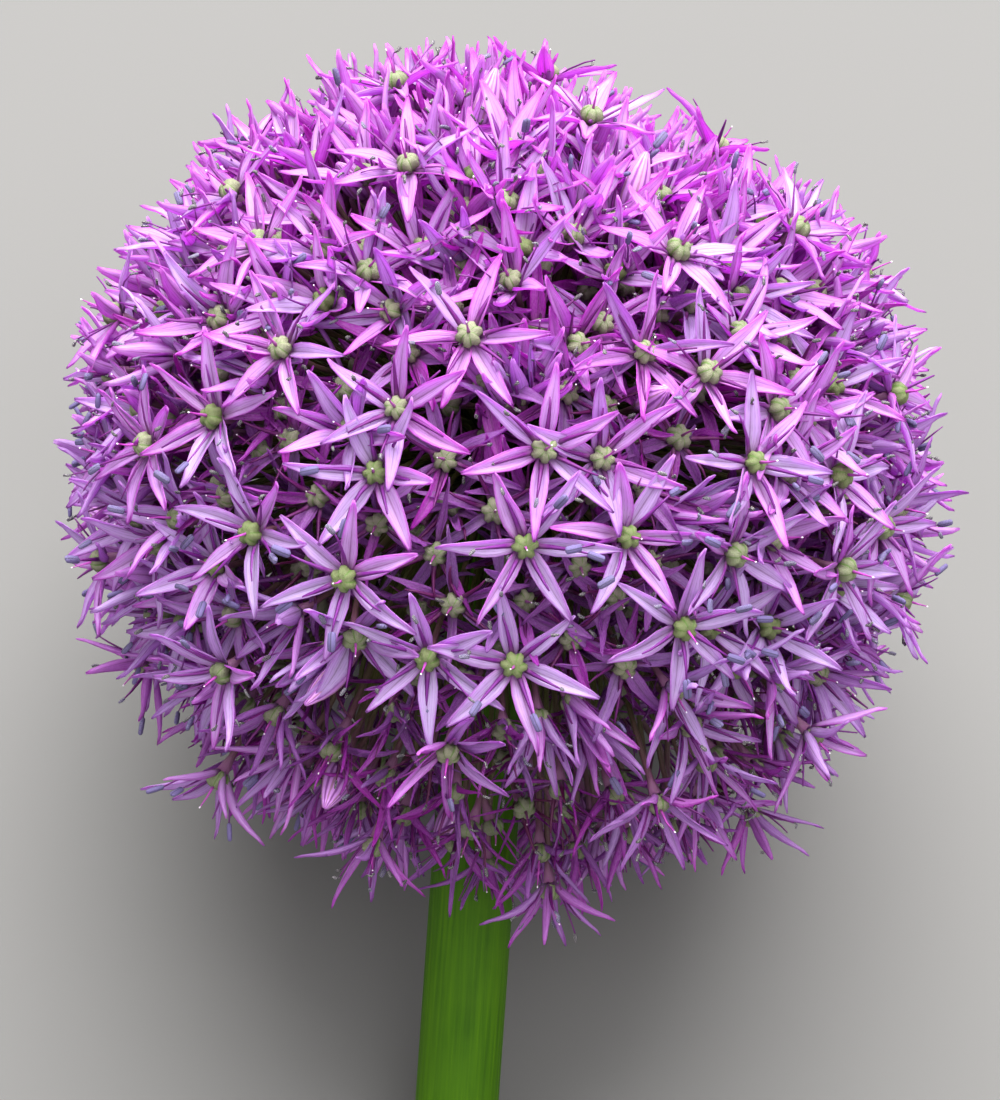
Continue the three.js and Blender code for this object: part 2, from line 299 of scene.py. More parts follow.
for meridian in range(1, BUD_MERIDIANS, 2):
    turn = math.atan2(rim_point.z, rim_point.y) + 2 * math.pi * meridian / BUD_MERIDIANS
    side = Vector((math.cos(turn), math.sin(turn)))
    select_points(bud_shape, lambda co, s=side: on_meridian(co.yz, s))
    bpy.ops.transform.resize(value=(1, BUD_SEAM, BUD_SEAM), center_override=(0, 0, 0))
bpy.ops.object.mode_set(mode="OBJECT")
print("bud has", len(bud_shape.data.polygons), "faces")

# %% [markdown]
# ## One picture sheet for all the florets
#
# Every organ's colour is looked up by where it lies on a sheet of eight by eight cells. A
# column is an age, from freshly opened on the left to withered on the right. Four rows are
# tepals in four tones, from paler to pinker, and the pinker rows stand partly for painted light
# on the lit top and the shaded foot of the head. The other rows are filaments, anthers,
# ovaries, and one for the pedicels, styles and buds. Within a cell, one direction runs across
# the organ and one along it. All florets can share the sheet, because two tepals of one age
# and one of the four tones do look the same.

# %% Read the organs as plain numbers, with their places in a cell
SHEET_CELLS = 8
CELL_MARGIN = 0.06
SHEET_MAP = "OFBake"
ROW = {"tepal": 0, "filament": 4, "anther": 5, "ovary": 6, "pedicel": 7, "style": 7, "bud": 7}
TEPAL_TONES = 4
AGE_STEPS = SHEET_CELLS


class Organ:
    """The points, faces and cell places of one modelled shape.

    A shape with no map of its own is laid flat in its cell along the two flat_axes.
    """

    def __init__(self, thing, flat_axes=None):
        mesh = thing.data
        self.points = np.array([v.co for v in mesh.vertices])
        self.sizes = np.array([p.loop_total for p in mesh.polygons])
        self.corners = np.array([loop.vertex_index for loop in mesh.loops])
        if flat_axes is None:
            self.places = np.array([uv.uv for uv in mesh.uv_layers[0].data])
            run = np.corrcoef(self.places.T, self.points[self.corners, 0])[2, :2]
            if abs(run[0]) > abs(run[1]):
                self.places, run = self.places[:, ::-1], run[::-1]
            if run[1] < 0:
                self.places[:, 1] = 1 - self.places[:, 1]
            print("own map: runs along with", run.round(2))
        else:
            flat = self.points[:, flat_axes]
            flat = (flat - flat.min(axis=0)) / np.ptp(flat, axis=0)
            self.places = flat[self.corners]
        self.places = CELL_MARGIN + self.places * (1 - 2 * CELL_MARGIN)
        bpy.data.objects.remove(thing, do_unlink=True)


organs = {
    "tepal": Organ(tepal),
    "filament": Organ(filament, [1, 0]),
    "anther": Organ(anther, [1, 0]),
    "ovary": Organ(ovary, [0, 1]),
    "pedicel": Organ(pedicel, [1, 0]),
    "style": Organ(style, [1, 0]),
    "bud": Organ(bud_shape),
}
ORGAN_KINDS = list(organs)
for kind, organ in organs.items():
    print(kind, len(organ.points), "points")

# %% [markdown]
# ## Growing bent copies
#
# A flat copy of the tepal would look stamped out. Real ones arch, twist and swing, and each
# does it a little differently. This helper bends any number of copies of an organ at once:
# its pitch above the flower's plane, its swing to the side and its twist all change along its
# length.

# %% Bend many copies of an organ
BEND_STEPS = 16


def grow(organ, length, width, thickness, pitch, swing, twist, fold):
    """Points of every copy, in the organ's own frame: +X outwards, +Z along the flower's axis.

    pitch is (at the root, at the tip), swing and twist are what they reach at the tip, and
    fold says how far the edges close up over the midrib, for each copy or for each point.
    """
    count = len(length)
    steps = np.linspace(0, 1, BEND_STEPS + 1)
    rise = pitch[0][:, None] + (pitch[1] - pitch[0])[:, None] * steps
    turn = swing[:, None] * steps ** 2
    ahead = np.stack([np.cos(rise) * np.cos(turn), np.cos(rise) * np.sin(turn), np.sin(rise)], -1)
    middle = (ahead[:, 1:] + ahead[:, :-1]) / 2
    line = np.concatenate([np.zeros((count, 1, 3)), np.cumsum(middle, axis=1)], axis=1)
    line *= length[:, None, None] / BEND_STEPS
    along = np.clip(organ.points[:, 0], 0, 1)
    low = np.minimum((along * BEND_STEPS).astype(int), BEND_STEPS - 1)
    share = (along * BEND_STEPS - low)[None, :, None]
    centre = line[:, low] * (1 - share) + line[:, low + 1] * share
    rise_here = pitch[0][:, None] + (pitch[1] - pitch[0])[:, None] * along
    turn_here = swing[:, None] * along ** 2
    side = np.stack([-np.sin(turn_here), np.cos(turn_here), np.zeros_like(turn_here)], -1)
    over = np.stack([-np.sin(rise_here) * np.cos(turn_here), -np.sin(rise_here) * np.sin(turn_here),
                     np.cos(rise_here)], -1)
    twist_here = (twist[:, None] * along)[..., None]
    side_now = side * np.cos(twist_here) + over * np.sin(twist_here)
    over_now = over * np.cos(twist_here) - side * np.sin(twist_here)
    closing = fold * np.abs(organ.points[:, 1])
    across = organ.points[:, 1] * width[:, None] * np.cos(closing)
    above = organ.points[:, 2] * thickness[:, None]
    above = above + np.abs(organ.points[:, 1]) * width[:, None] * np.sin(closing)
    return centre + side_now * across[..., None] + over_now * above[..., None]


# %% [markdown]
# ## Where every floret stands
#
# The frame carries fifty-five florets and four buds, each with its direction, reach and roll
# in its own mesh, and these are read from there. The florets that face the camera are placed
# next, by where the photograph shows their ovaries. All others fill the gaps from an even
# spread of directions over the ball. They come in three storeys, as on the real head: open
# florets outside, and older ones with withered tepals in two layers deeper down.

# %% Read the frame's florets
TIP_RISE = 1.6 * MM  # how far the tips of a solid's tepals rise above the ovary's middle
NEAR_STAR = 55 * MM  # a point further out than this belongs to the star, not to the pedicel
OUTERMOST = 0.97  # a point at this share of the star's radius is on the tip of a tepal
ANY_WAY = np.array([0.31, 0.12, 0.94])  # no floret points exactly this way


def side_axes(axis):
    """Two directions square to each axis, the same every time."""
    first = np.cross(ANY_WAY, axis)
    first /= np.linalg.norm(first, axis=-1, keepdims=True)
    return first, np.cross(axis, first)


def read_floret(name):
    """Direction, reach and roll of one of the frame's florets, from its mesh."""
    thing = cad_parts[name]
    points = np.array([thing.matrix_world @ v.co for v in thing.data.vertices]) - head
    star = points[np.linalg.norm(points, axis=1) > NEAR_STAR]
    direction = star.mean(axis=0)
    direction /= np.linalg.norm(direction)
    along = star @ direction
    out = star - along[:, None] * direction
    spread = np.linalg.norm(out, axis=1)
    tips = spread > spread.max() * OUTERMOST
    first, second = side_axes(direction)
    tip = out[np.argmax(spread)]
    return direction, along[tips].mean() - TIP_RISE, math.atan2(tip @ second, tip @ first)


named = sorted(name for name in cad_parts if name.startswith(("floret_", "bud_")))
read = {name: read_floret(name) for name in named}
print("reach of the frame's florets", round(min(r[1] for r in read.values()) / MM, 2), "to",
      round(max(r[1] for r in read.values()) / MM, 2), "mm")

# %% Note down the florets that the photograph shows
OUTER_REACH = 74 * MM
INNER_REACH = 67.5 * MM
# pixel across, pixel down, turn of the star in degrees, age from 0 to 1
OUTER_FLORETS = [
    (526, 546, -2, 0.05), (631, 538, 46, 0.08), (426, 662, 37, 0.05), (514, 666, 51, 0.05),
    (344, 582, 21, 0.05), (688, 627, 18, 0.1), (604, 458, 38, 0.3), (544, 450, 15, 0.32),
    (756, 459, 47, 0.1), (709, 372, 43, 0.3), (396, 408, 21, 0.35), (209, 416, 13, 0.1),
    (278, 351, 52, 0.3), (246, 534, 34, 0.1), (646, 351, 53, 0.45), (740, 556, 25, 0.2),
    (781, 409, 5, 0.2), (851, 566, 40, 0.2), (847, 475, 12, 0.1), (679, 242, 30, 0.2),
    (467, 335, 8, 0.35), (258, 242, 20, 0.2),
]
INNER_FLORETS = [
    (446, 460, 25, 0.6), (495, 511, 40, 0.65), (436, 553, 5, 0.8), (453, 604, 30, 0.75),
    (580, 568, 50, 0.75), (375, 525, 12, 0.7), (317, 496, 44, 0.7), (676, 438, 20, 0.75),
    (644, 488, 33, 0.65), (567, 393, 10, 0.5), (484, 381, 28, 0.55), (625, 667, 15, 0.6),
    (617, 599, 38, 0.8), (571, 639, 55, 0.8), (288, 440, 22, 0.7), (407, 351, 48, 0.5),
    (451, 305, 3, 0.5), (602, 324, 36, 0.45), (539, 330, 17, 0.5), (693, 302, 42, 0.45),
    (784, 338, 8, 0.5), (224, 375, 26, 0.6), (230, 618, 51, 0.4), (333, 748, 14, 0.5),
]
# Opening florets still hold their tepals together, and lean this far across and up the picture.
OPENING_CUP = 1.9
OPENING_AGE = 0.25
OPENING_BUDS = {"bud_1": (-0.1, 0.5), "bud_3": (0.7, 0.05)}
CLOSED_BUDS = {"bud_4": (-0.4, -0.35)}
HANGING_CUP = 1.15
# pixel across, pixel down and age of the florets that hang beside the stalk like brooms
HANGING_FLORETS = [
    (453, 797, 0.45), (618, 802, 0.4), (539, 853, 0.35), (398, 838, 0.3), (692, 846, 0.35),
    (486, 872, 0.3), (504, 730, 0.6), (560, 790, 0.7), (335, 746, 0.6), (425, 760, 0.7),
    (470, 830, 0.7), (650, 880, 0.3), (585, 895, 0.3),
]
# pixel across, pixel down, lean across and lean up of the florets that are just opening
OPENING_FLORETS = [
    (576, 712, 0.45, -0.45), (594, 745, 0.4, -0.6), (540, 728, 0.05, -0.6), (505, 395, -0.35, 0.4),
    (545, 392, 0.25, 0.45), (700, 512, 0.75, 0.1), (320, 660, -0.5, -0.3),
]
print(len(OUTER_FLORETS), "outer,", len(INNER_FLORETS), "inner,", len(HANGING_FLORETS), "hanging and",
      len(OPENING_FLORETS), "opening florets noted")

# %% Helpers that place a floret
HANGING_FROM = 0.35  # how far below its middle the head's florets begin to hang
HANGING_SPAN = 0.3  # and how much further down they hang fully


def direction_of(across, down, reach):
    """The direction from the middle of the head to what a pixel shows at that reach."""
    ray = (-to_viewer + view_right * (across - HEAD_PIXEL[0]) / FOCAL_PIXELS
           + view_up * (HEAD_PIXEL[1] - down) / FOCAL_PIXELS)
    ray /= np.linalg.norm(ray)
    start = to_viewer * VIEW_DISTANCE
    nearest = -start @ ray
    depth = math.sqrt(max(nearest ** 2 - VIEW_DISTANCE ** 2 + reach ** 2, 0.0))
    place = start + ray * (nearest - depth)
    return place / np.linalg.norm(place)


def roll_seen(direction, degrees):
    """The roll that turns one tepal to this angle in the picture."""
    turn = math.radians(degrees)
    seen = math.cos(turn) * view_right + math.sin(turn) * view_up
    first, second = side_axes(direction)
    return math.atan2(seen @ second, seen @ first)


def hanging_share(direction):
    """0 for a floret that stands up or out, and 1 for one that hangs beside the stalk."""
    return np.clip((-(direction @ head_top) - HANGING_FROM) / HANGING_SPAN, 0, 1)


def leaning(across, up):
    """A lean towards this way in the picture."""
    return across * view_right + up * view_up


def new_floret(direction, reach, roll, age, cup, tilt=0.0, lean=(0.0, 0.0), piece=None, bud=False):
    """One row of the list of florets.

    Its cup is 0 when it is wide open and about 2 when nearly closed, its lean is across and up
    the picture, and with no piece of its own it joins a cluster later on.
    """
    return {"direction": direction, "reach": reach, "roll": roll, "age": age, "cup": cup,
            "tilt": tilt, "lean": leaning(*lean), "piece": piece, "bud": bud}


# %% Place the florets that face the camera
FRAME_OLDEST = 0.35  # the frame's florets are fresh or not much older
HANGING_CLOSES = 0.9  # how much more a hanging floret of the frame is cupped
HANGING_DROOPS = 0.3  # and how far it leans down the picture
TWIN_DISTANCE = 0.03  # a floret of the frame this near a noted one is that same floret

florets = []
for name in named:
    direction, reach, turn = read[name]
    floret = new_floret(direction, reach, turn, rng.uniform(0.0, FRAME_OLDEST),
                        rng.uniform(0.0, 0.3), piece=name, bud=name.startswith("bud"))
    if not floret["bud"]:
        hangs = hanging_share(direction)
        floret["cup"] += HANGING_CLOSES * hangs
        floret["lean"] = leaning(0.0, -HANGING_DROOPS * hangs)
    if name in OPENING_BUDS:
        floret.update(lean=leaning(*OPENING_BUDS[name]), cup=OPENING_CUP, age=OPENING_AGE, bud=False)
    if name in CLOSED_BUDS:
        floret["lean"] = leaning(*CLOSED_BUDS[name])
    florets.append(floret)
for across, down, lean_across, lean_up in OPENING_FLORETS:
    florets.append(new_floret(direction_of(across, down, INNER_REACH), INNER_REACH, 0.0,
                              OPENING_AGE, OPENING_CUP, lean=(lean_across, lean_up)))
for across, down, old in HANGING_FLORETS:
    florets.append(new_floret(direction_of(across, down, INNER_REACH), INNER_REACH,
                              rng.uniform(0, 2 * math.pi), old,
                              HANGING_CUP + rng.uniform(-0.25, 0.25), tilt=0.12, lean=(0.0, -0.15)))
for rows, reach in ((OUTER_FLORETS, OUTER_REACH), (INNER_FLORETS, INNER_REACH)):
    for across, down, degrees, age in rows:
        direction = direction_of(across, down, reach)
        turn = roll_seen(direction, degrees)
        twin = [f for f in florets
                if f["piece"] and np.linalg.norm(f["direction"] - direction) < TWIN_DISTANCE]
        if twin:
            twin[0].update(roll=turn, age=age, cup=0.0)
            continue
        florets.append(new_floret(direction, reach + rng.uniform(-1, 1) * MM, turn, age,
                                  rng.uniform(0.0, 0.25), tilt=0.08))
print(len(florets), "florets placed by hand or by the frame")

# %% Helpers that spread the other florets
GOLDEN_ANGLE = math.pi * (3 - math.sqrt(5))
# The head is not quite round. Where its outline falls short of a circle in the picture:
# degrees from its right hand side over its top, depth in mm, and half width in degrees
HOLLOWS = [(64, 8.0, 22), (206, 7.0, 20), (248, 7.0, 18), (288, 4.0, 14), (330, 3.5, 22)]


def even_directions(number):
    """Directions spread evenly over a ball, with its poles on the axis of the stalk."""
    steps = np.arange(number)
    height = 1 - (2 * steps + 1) / number
    ring = np.sqrt(1 - height ** 2)
    spread = np.column_stack([ring * np.cos(steps * GOLDEN_ANGLE),
                              ring * np.sin(steps * GOLDEN_ANGLE), height])
    first, second = side_axes(head_top)
    return spread @ np.array([first, second, head_top])


def hollow_depth(direction):
    """How much lower a floret stands than on a round head, in mm."""
    across, up = direction @ view_right, direction @ view_up
    seen = math.degrees(math.atan2(up, across))
    depth = 0.0
    for angle, deepest, half_width in HOLLOWS:
        apart = (seen - angle + 180) % 360 - 180
        depth += deepest * math.exp(-(apart / half_width) ** 2)
    return depth * (across ** 2 + up ** 2)


def pixel_of(direction, reach):
    """Where the camera sees a point of the head, in pixels across and down."""
    place = direction * reach
    scale = FOCAL_PIXELS / (VIEW_DISTANCE - place @ to_viewer)
    return HEAD_PIXEL[0] + place @ view_right * scale, HEAD_PIXEL[1] - place @ view_up * scale


# %% Fill the rest of the ball
UNEVENNESS = 0.03  # how far each direction strays from the even spread
BARE_ANGLE = math.radians(12)  # no floret grows this close to the stalk
BUD_SHARE = 0.025
HALF_OPEN_SHARE = 0.06
HALF_OPEN_CUP = 0.8
HIGHEST_REACH = 73.5
FOOT_CUP = 0.8  # how much more the florets that hang round the stalk are cupped
TOP_CUP = 0.7  # and those at the top
FRESHER_TOP = 0.45  # how much younger than the others of their storey they are, which makes them paler as painted light on the top, and less withered
TOP_CROWDING = 0.22  # the florets at the top stand this much closer together
FOOT_THINNING = 0.25  # and those that hang round the stalk this much further apart
# Pixels where the photograph looks right through the lower part of the head.
SEE_THROUGH = [(632, 755), (574, 795), (368, 728), (396, 782)]
GAP_PIXELS = 24  # no floret is filled in this near to one of them
# candidates, room round each in mm, reach and its scatter in mm, lowest and highest age, tilt
STOREYS = [
    (1600, 9.2, 70.5, 1.5, 0.0, 0.4, 0.30),
    (1300, 6.7, 66.0, 2.0, 0.45, 1.0, 0.32),
    (1000, 5.2, 58.5, 2.5, 0.8, 1.0, 0.35),
]

for number, room, mean_reach, scatter, youngest, oldest, tilt in STOREYS:
    before = len(florets)
    spread = even_directions(number) + rng.normal(0, UNEVENNESS, (number, 3))
    spread /= np.linalg.norm(spread, axis=1, keepdims=True)
    for direction in rng.permutation(spread):
        others = np.array([f["direction"] for f in florets])
        height = max(direction @ head_top, 0.0)
        needed = room * (1 - TOP_CROWDING * height + FOOT_THINNING * hanging_share(direction)) * MM
        if np.linalg.norm(others - direction, axis=1).min() * OUTER_REACH < needed:
            continue
        if direction @ -head_top > math.cos(BARE_ANGLE):
            continue
        seen = pixel_of(direction, mean_reach * MM)
        if min(math.dist(seen, gap) for gap in SEE_THROUGH) < GAP_PIXELS:
            continue
        reach = min(rng.normal(mean_reach, scatter), HIGHEST_REACH) - hollow_depth(direction)
        turn = rng.uniform(0, 2 * math.pi)
        # Florets at the top are made younger and so paler: painted light on the top of the head.
        age = rng.uniform(youngest, oldest) * (1 - FRESHER_TOP * height)
        cup = rng.uniform(0.1, 1.0) + TOP_CUP * height + FOOT_CUP * hanging_share(direction)
        if rng.random() < HALF_OPEN_SHARE:
            cup += HALF_OPEN_CUP
        florets.append(new_floret(direction, reach * MM, turn, age, cup, tilt=tilt,
                                  bud=rng.random() < BUD_SHARE))
    print("storey at", mean_reach, "mm:", len(florets) - before, "florets")
print(len(florets), "florets in all")

# %% [markdown]
# ## The florets as columns of numbers
#
# From here on every floret is one entry in a set of arrays, so that a whole head can be bent
# in one go. A floret faces outwards, give or take its tilt.

# %% Turn the list into arrays
UNDERSIDE = 0.97  # a floret that points this steeply down is pressed quite open
UNDERSIDE_SPAN = 0.2  # and one that points this much less steeply is free
TIP_LIMIT = 75.0  # how far out an open floret may stand, in mm
CUP_DEPTH = 4.5  # and how much lower a cupped one
OLDER_FOOT = 0.22  # the florets that hang round the stalk are this much older, which darkens their colour as painted shade and withers their shape
FRAME_HOLLOW = 0.5  # the frame's own florets follow the hollows by this share


def column(key):
    """One value of every floret."""
    return np.array([f[key] for f in florets])


count = len(florets)
direction = column("direction")
age = column("age")
reach = column("reach")
# The florets under the head carry it, so they are pressed open.
pressed = np.clip((direction[:, 2] + UNDERSIDE) / UNDERSIDE_SPAN, 0, 1)
cup = column("cup") * pressed
is_bud = column("bud")
hanging = hanging_share(direction)
# The hanging florets are made older and so darker: painted shade for the foot of the head, which also
# withers their shape.
age = np.minimum(age + OLDER_FOOT * hanging, 1)
# A cupped floret reaches further out with its tips, so it stands lower.
loose = np.array([f["piece"] is None for f in florets])
hollow = np.array([hollow_depth(d) for d in direction])
reach = np.where(loose, np.minimum(reach, (TIP_LIMIT - CUP_DEPTH * cup - hollow) * MM),
                 reach - FRAME_HOLLOW * hollow * MM)
lean = rng.normal(0, 1, (count, 3)) * (column("tilt") * (0.3 + 0.7 * pressed))[:, None]
lean = lean + column("lean")
axis = direction + lean - direction * np.sum(lean * direction, axis=1, keepdims=True)
axis /= np.linalg.norm(axis, axis=1, keepdims=True)
first, second = side_axes(axis)
roll_angle = column("roll")[:, None]
star_x = first * np.cos(roll_angle) + second * np.sin(roll_angle)
star_y = np.cross(axis, star_x)
middle = head + direction * reach[:, None]

CLUSTER_COUNT = 14
nearest_cluster = np.argmax(direction @ even_directions(CLUSTER_COUNT).T, axis=1)
piece_names = np.array([f["piece"] or f"florets_{nearest_cluster[i] + 1:02d}"
                        for i, f in enumerate(florets)])
print(len(set(piece_names)), "floret pieces")

# %% [markdown]
# ## Six of each, round every ovary
#
# Six tepals and six stamens stand round each ovary, sixty degrees apart. Young florets hold
# their tepals out flat. As they age the tepals narrow, fold along the midrib, twist and turn
# down, and the stamens dry up.

# %% Place organs round the florets
PER_FLORET = 6
batches = {kind: [] for kind in ORGAN_KINDS}


def turned(points, angle):
    """Turns each organ round the flower's axis by its own angle."""
    x = points[..., 0] * np.cos(angle)[:, None] - points[..., 1] * np.sin(angle)[:, None]
    y = points[..., 0] * np.sin(angle)[:, None] + points[..., 1] * np.cos(angle)[:, None]
    return np.stack([x, y, points[..., 2]], -1)


def place_round(points, owner, turn, root_out, root_up):
    """Moves bent organs from their own frame to their floret and to its place on the head."""
    points = points + np.stack([root_out, np.zeros_like(root_out), root_up], -1)[:, None, :]
    x, y, z = np.moveaxis(turned(points, turn), -1, 0)[..., None]
    return (middle[owner][:, None, :] + x * star_x[owner][:, None, :]
            + y * star_y[owner][:, None, :] + z * axis[owner][:, None, :])


def keep(kind, points, owner, older=0.0, row_by_tone_and_light=0):
    """Files bent organs under their kind, each with its floret and its cell on the sheet."""
    aged = np.clip(age[owner] + older, 0, 0.999)
    column_number = (aged * AGE_STEPS).astype(int)
    row_number = ROW[kind] + np.zeros(len(owner), int) + row_by_tone_and_light
    batches[kind].append((points, owner, column_number, row_number))


def spread_of(low, high, number):
    """As many even draws between two values."""
    return rng.uniform(low, high, number)


# %% Grow the tepals
TEPAL_LENGTH = 13.4  # lengths and half widths are in mm
TEPAL_HALF_WIDTH = 1.56
WITHERED_FROM = 0.4  # the age at which tepals begin to shrivel
OPEN_PITCH = (24, 1)  # degrees above the flower's plane, at the root and at the tip
CUP_PITCH = (24, 36)  # and how much each of them rises for a cup of 1
RUFFLE_TURNS = 8.0  # radians of waviness from a tepal's root to its tip
TEPAL_ROOT = (1.0, -1.4)  # how far out from the flower's axis, and up from the ovary's middle

# The small numbers below say how much each value strays or drifts with age, in radians for
# angles and in mm for sizes.
owner = np.repeat(np.flatnonzero(~is_bud), PER_FLORET)
number = np.tile(np.arange(PER_FLORET), int((~is_bud).sum()))
many = len(owner)
old = age[owner]
cupped = cup[owner]
withered = np.clip((old - WITHERED_FROM) / (1 - WITHERED_FROM), 0, 1)
unruly = 0.16 + 0.12 * np.minimum(cupped * 4, 1) + 0.5 * withered
turn = number * math.pi / 3 + rng.normal(0, 0.07 + 0.16 * old)
hangs = hanging[owner]
length = (TEPAL_LENGTH - 2.0 * withered) * spread_of(0.92, 1.07, many) * MM
width = TEPAL_HALF_WIDTH - 0.25 * old - 0.55 * withered - 0.35 * hangs
width = width * spread_of(0.85, 1.17, many) * MM
pitch_root = np.radians(OPEN_PITCH[0] + CUP_PITCH[0] * cupped) + rng.normal(0, unruly * 0.6)
pitch_tip = np.radians(OPEN_PITCH[1] + CUP_PITCH[1] * cupped) + rng.normal(0, unruly)
pitch_tip = pitch_tip - 0.3 * withered
swing = rng.normal(0, unruly * 0.8)
twist = rng.normal(0, 0.36 + 1.1 * withered)
fold = 0.28 + 0.7 * withered * spread_of(0.4, 1.0, many) + 0.5 * hangs
ruffle = (0.22 + 0.7 * withered) * spread_of(0.3, 1.0, many)
waves = RUFFLE_TURNS * organs["tepal"].points[:, 0][None, :] + spread_of(0, 6.28, many)[:, None]
fold = fold[:, None] + ruffle[:, None] * np.sin(waves)
points = grow(organs["tepal"], length, width, width, (pitch_root, pitch_tip), swing, twist, fold)
points = place_round(points, owner, turn, np.full(many, TEPAL_ROOT[0] * MM),
                     np.full(many, TEPAL_ROOT[1] * MM))
# Painted light and shade: the tepals in full light at the top get the pinkest rows, and so do the
# shaded ones at the foot, with a random spread on top of that.
pinkness_light_and_chance = 1.3 + 1.6 * (direction[owner] @ head_top) + 1.6 * hangs + rng.normal(0, 0.7, many)
row_by_tone_and_light = np.clip(pinkness_light_and_chance.round(), 0, TEPAL_TONES - 1).astype(int)
keep("tepal", points, owner, row_by_tone_and_light=row_by_tone_and_light)
print(many, "tepals")

# %% Grow the filaments
FILAMENT_LENGTH = 7.7
FILAMENT_RADIUS = 0.46
FILAMENT_PITCH = (32, 15)
FILAMENT_ROOT = (1.7, -0.7)

has_stamen = rng.random(many) > 0.3 * withered
owner, number, old, withered = (v[has_stamen] for v in (owner, number, old, withered))
cupped = cupped[has_stamen]
many = len(owner)
turn = number * math.pi / 3 + rng.normal(0, 0.12, many)
length = (FILAMENT_LENGTH - 1.5 * withered) * spread_of(0.85, 1.12, many) * MM
pitch_root = np.radians(FILAMENT_PITCH[0] + CUP_PITCH[0] * cupped) + rng.normal(0, 0.16, many)
pitch_tip = np.radians(FILAMENT_PITCH[1] + CUP_PITCH[1] * cupped) + rng.normal(0, 0.26, many)
swing = rng.normal(0, 0.15 + 0.25 * withered)
none = np.zeros(many)
thick = np.full(many, FILAMENT_RADIUS * MM)
root_out = np.full(many, FILAMENT_ROOT[0] * MM)
root_up = np.full(many, FILAMENT_ROOT[1] * MM)
points = grow(organs["filament"], length, thick, thick, (pitch_root, pitch_tip), swing, none,
              none[:, None])
keep("filament", place_round(points, owner, turn, root_out, root_up), owner)
print(many, "filaments")

# %% Set the anthers on their tips
ANTHER_LENGTH = 3.0
ANTHER_HALF_WIDTH = 0.70
ANTHER_HALF_DEPTH = 0.52
SPLIT_FROM = 0.32  # the age from which an anther splits and shrinks

# Many of the anthers have split and shrunk to a dark crumb, and some have dropped off.
spent = rng.uniform(-0.12, 0.75, many) + 0.35 * np.clip(direction[owner] @ head_top, 0, 1)
shrunk = np.clip((old + spent - SPLIT_FROM) / 0.12, 0, 1)
foot = points[:, organs["filament"].points[:, 0] > 0.99].mean(axis=1)
size = (1 - 0.5 * shrunk) * spread_of(0.9, 1.1, many)
slant = pitch_tip + rng.normal(-0.15, 0.2, many)
curl = (slant, slant - 1.6 * shrunk * rng.normal(0, 1, many))
bend = rng.normal(0, 0.5, many) * shrunk
points = grow(organs["anther"], ANTHER_LENGTH * size * MM, ANTHER_HALF_WIDTH * size * MM,
              ANTHER_HALF_DEPTH * size * MM, curl, bend, 1.2 * shrunk, none[:, None])
heading = swing + rng.normal(0, 0.2 + 0.5 * shrunk)
points = turned(points, heading) + foot[:, None, :]
points = place_round(points, owner, turn, root_out, root_up)
kept = rng.random(many) > 0.45 * shrunk
keep("anther", points[kept], owner[kept], older=spent[kept])
print(int(kept.sum()), "anthers")

# %% Set the ovaries and the styles
OVARY_RADIUS = 2.15
STYLE_LENGTH = (3.0, 5.2)
STYLE_RADIUS = 0.32
STYLE_FOOT = 0.9  # how far above the ovary's middle it starts

owner = np.flatnonzero(~is_bud)
many = len(owner)
points = organs["ovary"].points * (OVARY_RADIUS * spread_of(0.93, 1.07, many) * MM)[:, None, None]
none = np.zeros(many)
keep("ovary", place_round(points, owner, np.full(many, math.pi / 6), none, none), owner)
straight = np.radians(90) + rng.normal(0, 0.12, many)
length = spread_of(*STYLE_LENGTH, many) * MM
thick = np.full(many, STYLE_RADIUS * MM)
curl = (straight, straight + rng.normal(0, 0.3, many))
points = grow(organs["style"], length, thick, thick, curl, none, none, none[:, None])
points = place_round(points, owner, spread_of(0, 6.28, many), none, np.full(many, STYLE_FOOT * MM))
keep("style", points, owner)
print(many, "ovaries and styles")

# %% Set the buds
BUD_LENGTH = (9.0, 11.0)
BUD_RADIUS = (2.2, 2.6)
BUD_FOOT = -1.5  # a bud starts this far below where an ovary would be

owner = np.flatnonzero(is_bud)
many = len(owner)
none = np.zeros(many)
straight = np.full(many, math.pi / 2)
plump = spread_of(*BUD_RADIUS, many) * MM
points = grow(organs["bud"], spread_of(*BUD_LENGTH, many) * MM, plump, plump, (straight, straight),
              none, none, none[:, None])
keep("bud", place_round(points, owner, none, none, np.full(many, BUD_FOOT * MM)), owner)
print(many, "buds")

# %% [markdown]
# ## The pedicels
#
# The pedicels leave the receptacle square to its surface. Those near the stalk leave from its
# shoulder and curve down beside it, so that none runs through the stalk. Each ends under its
# ovary, in line with the flower's axis.

# %% Grow the pedicels
SHOULDER_ANGLE = math.radians(52)  # from the stalk, where the first pedicels grow
PEDICEL_RADIUS = 0.52 * MM
PEDICEL_SUNK = 0.3 * MM  # its foot lies this deep in the receptacle
OVARY_FOOT = 1.5 * MM

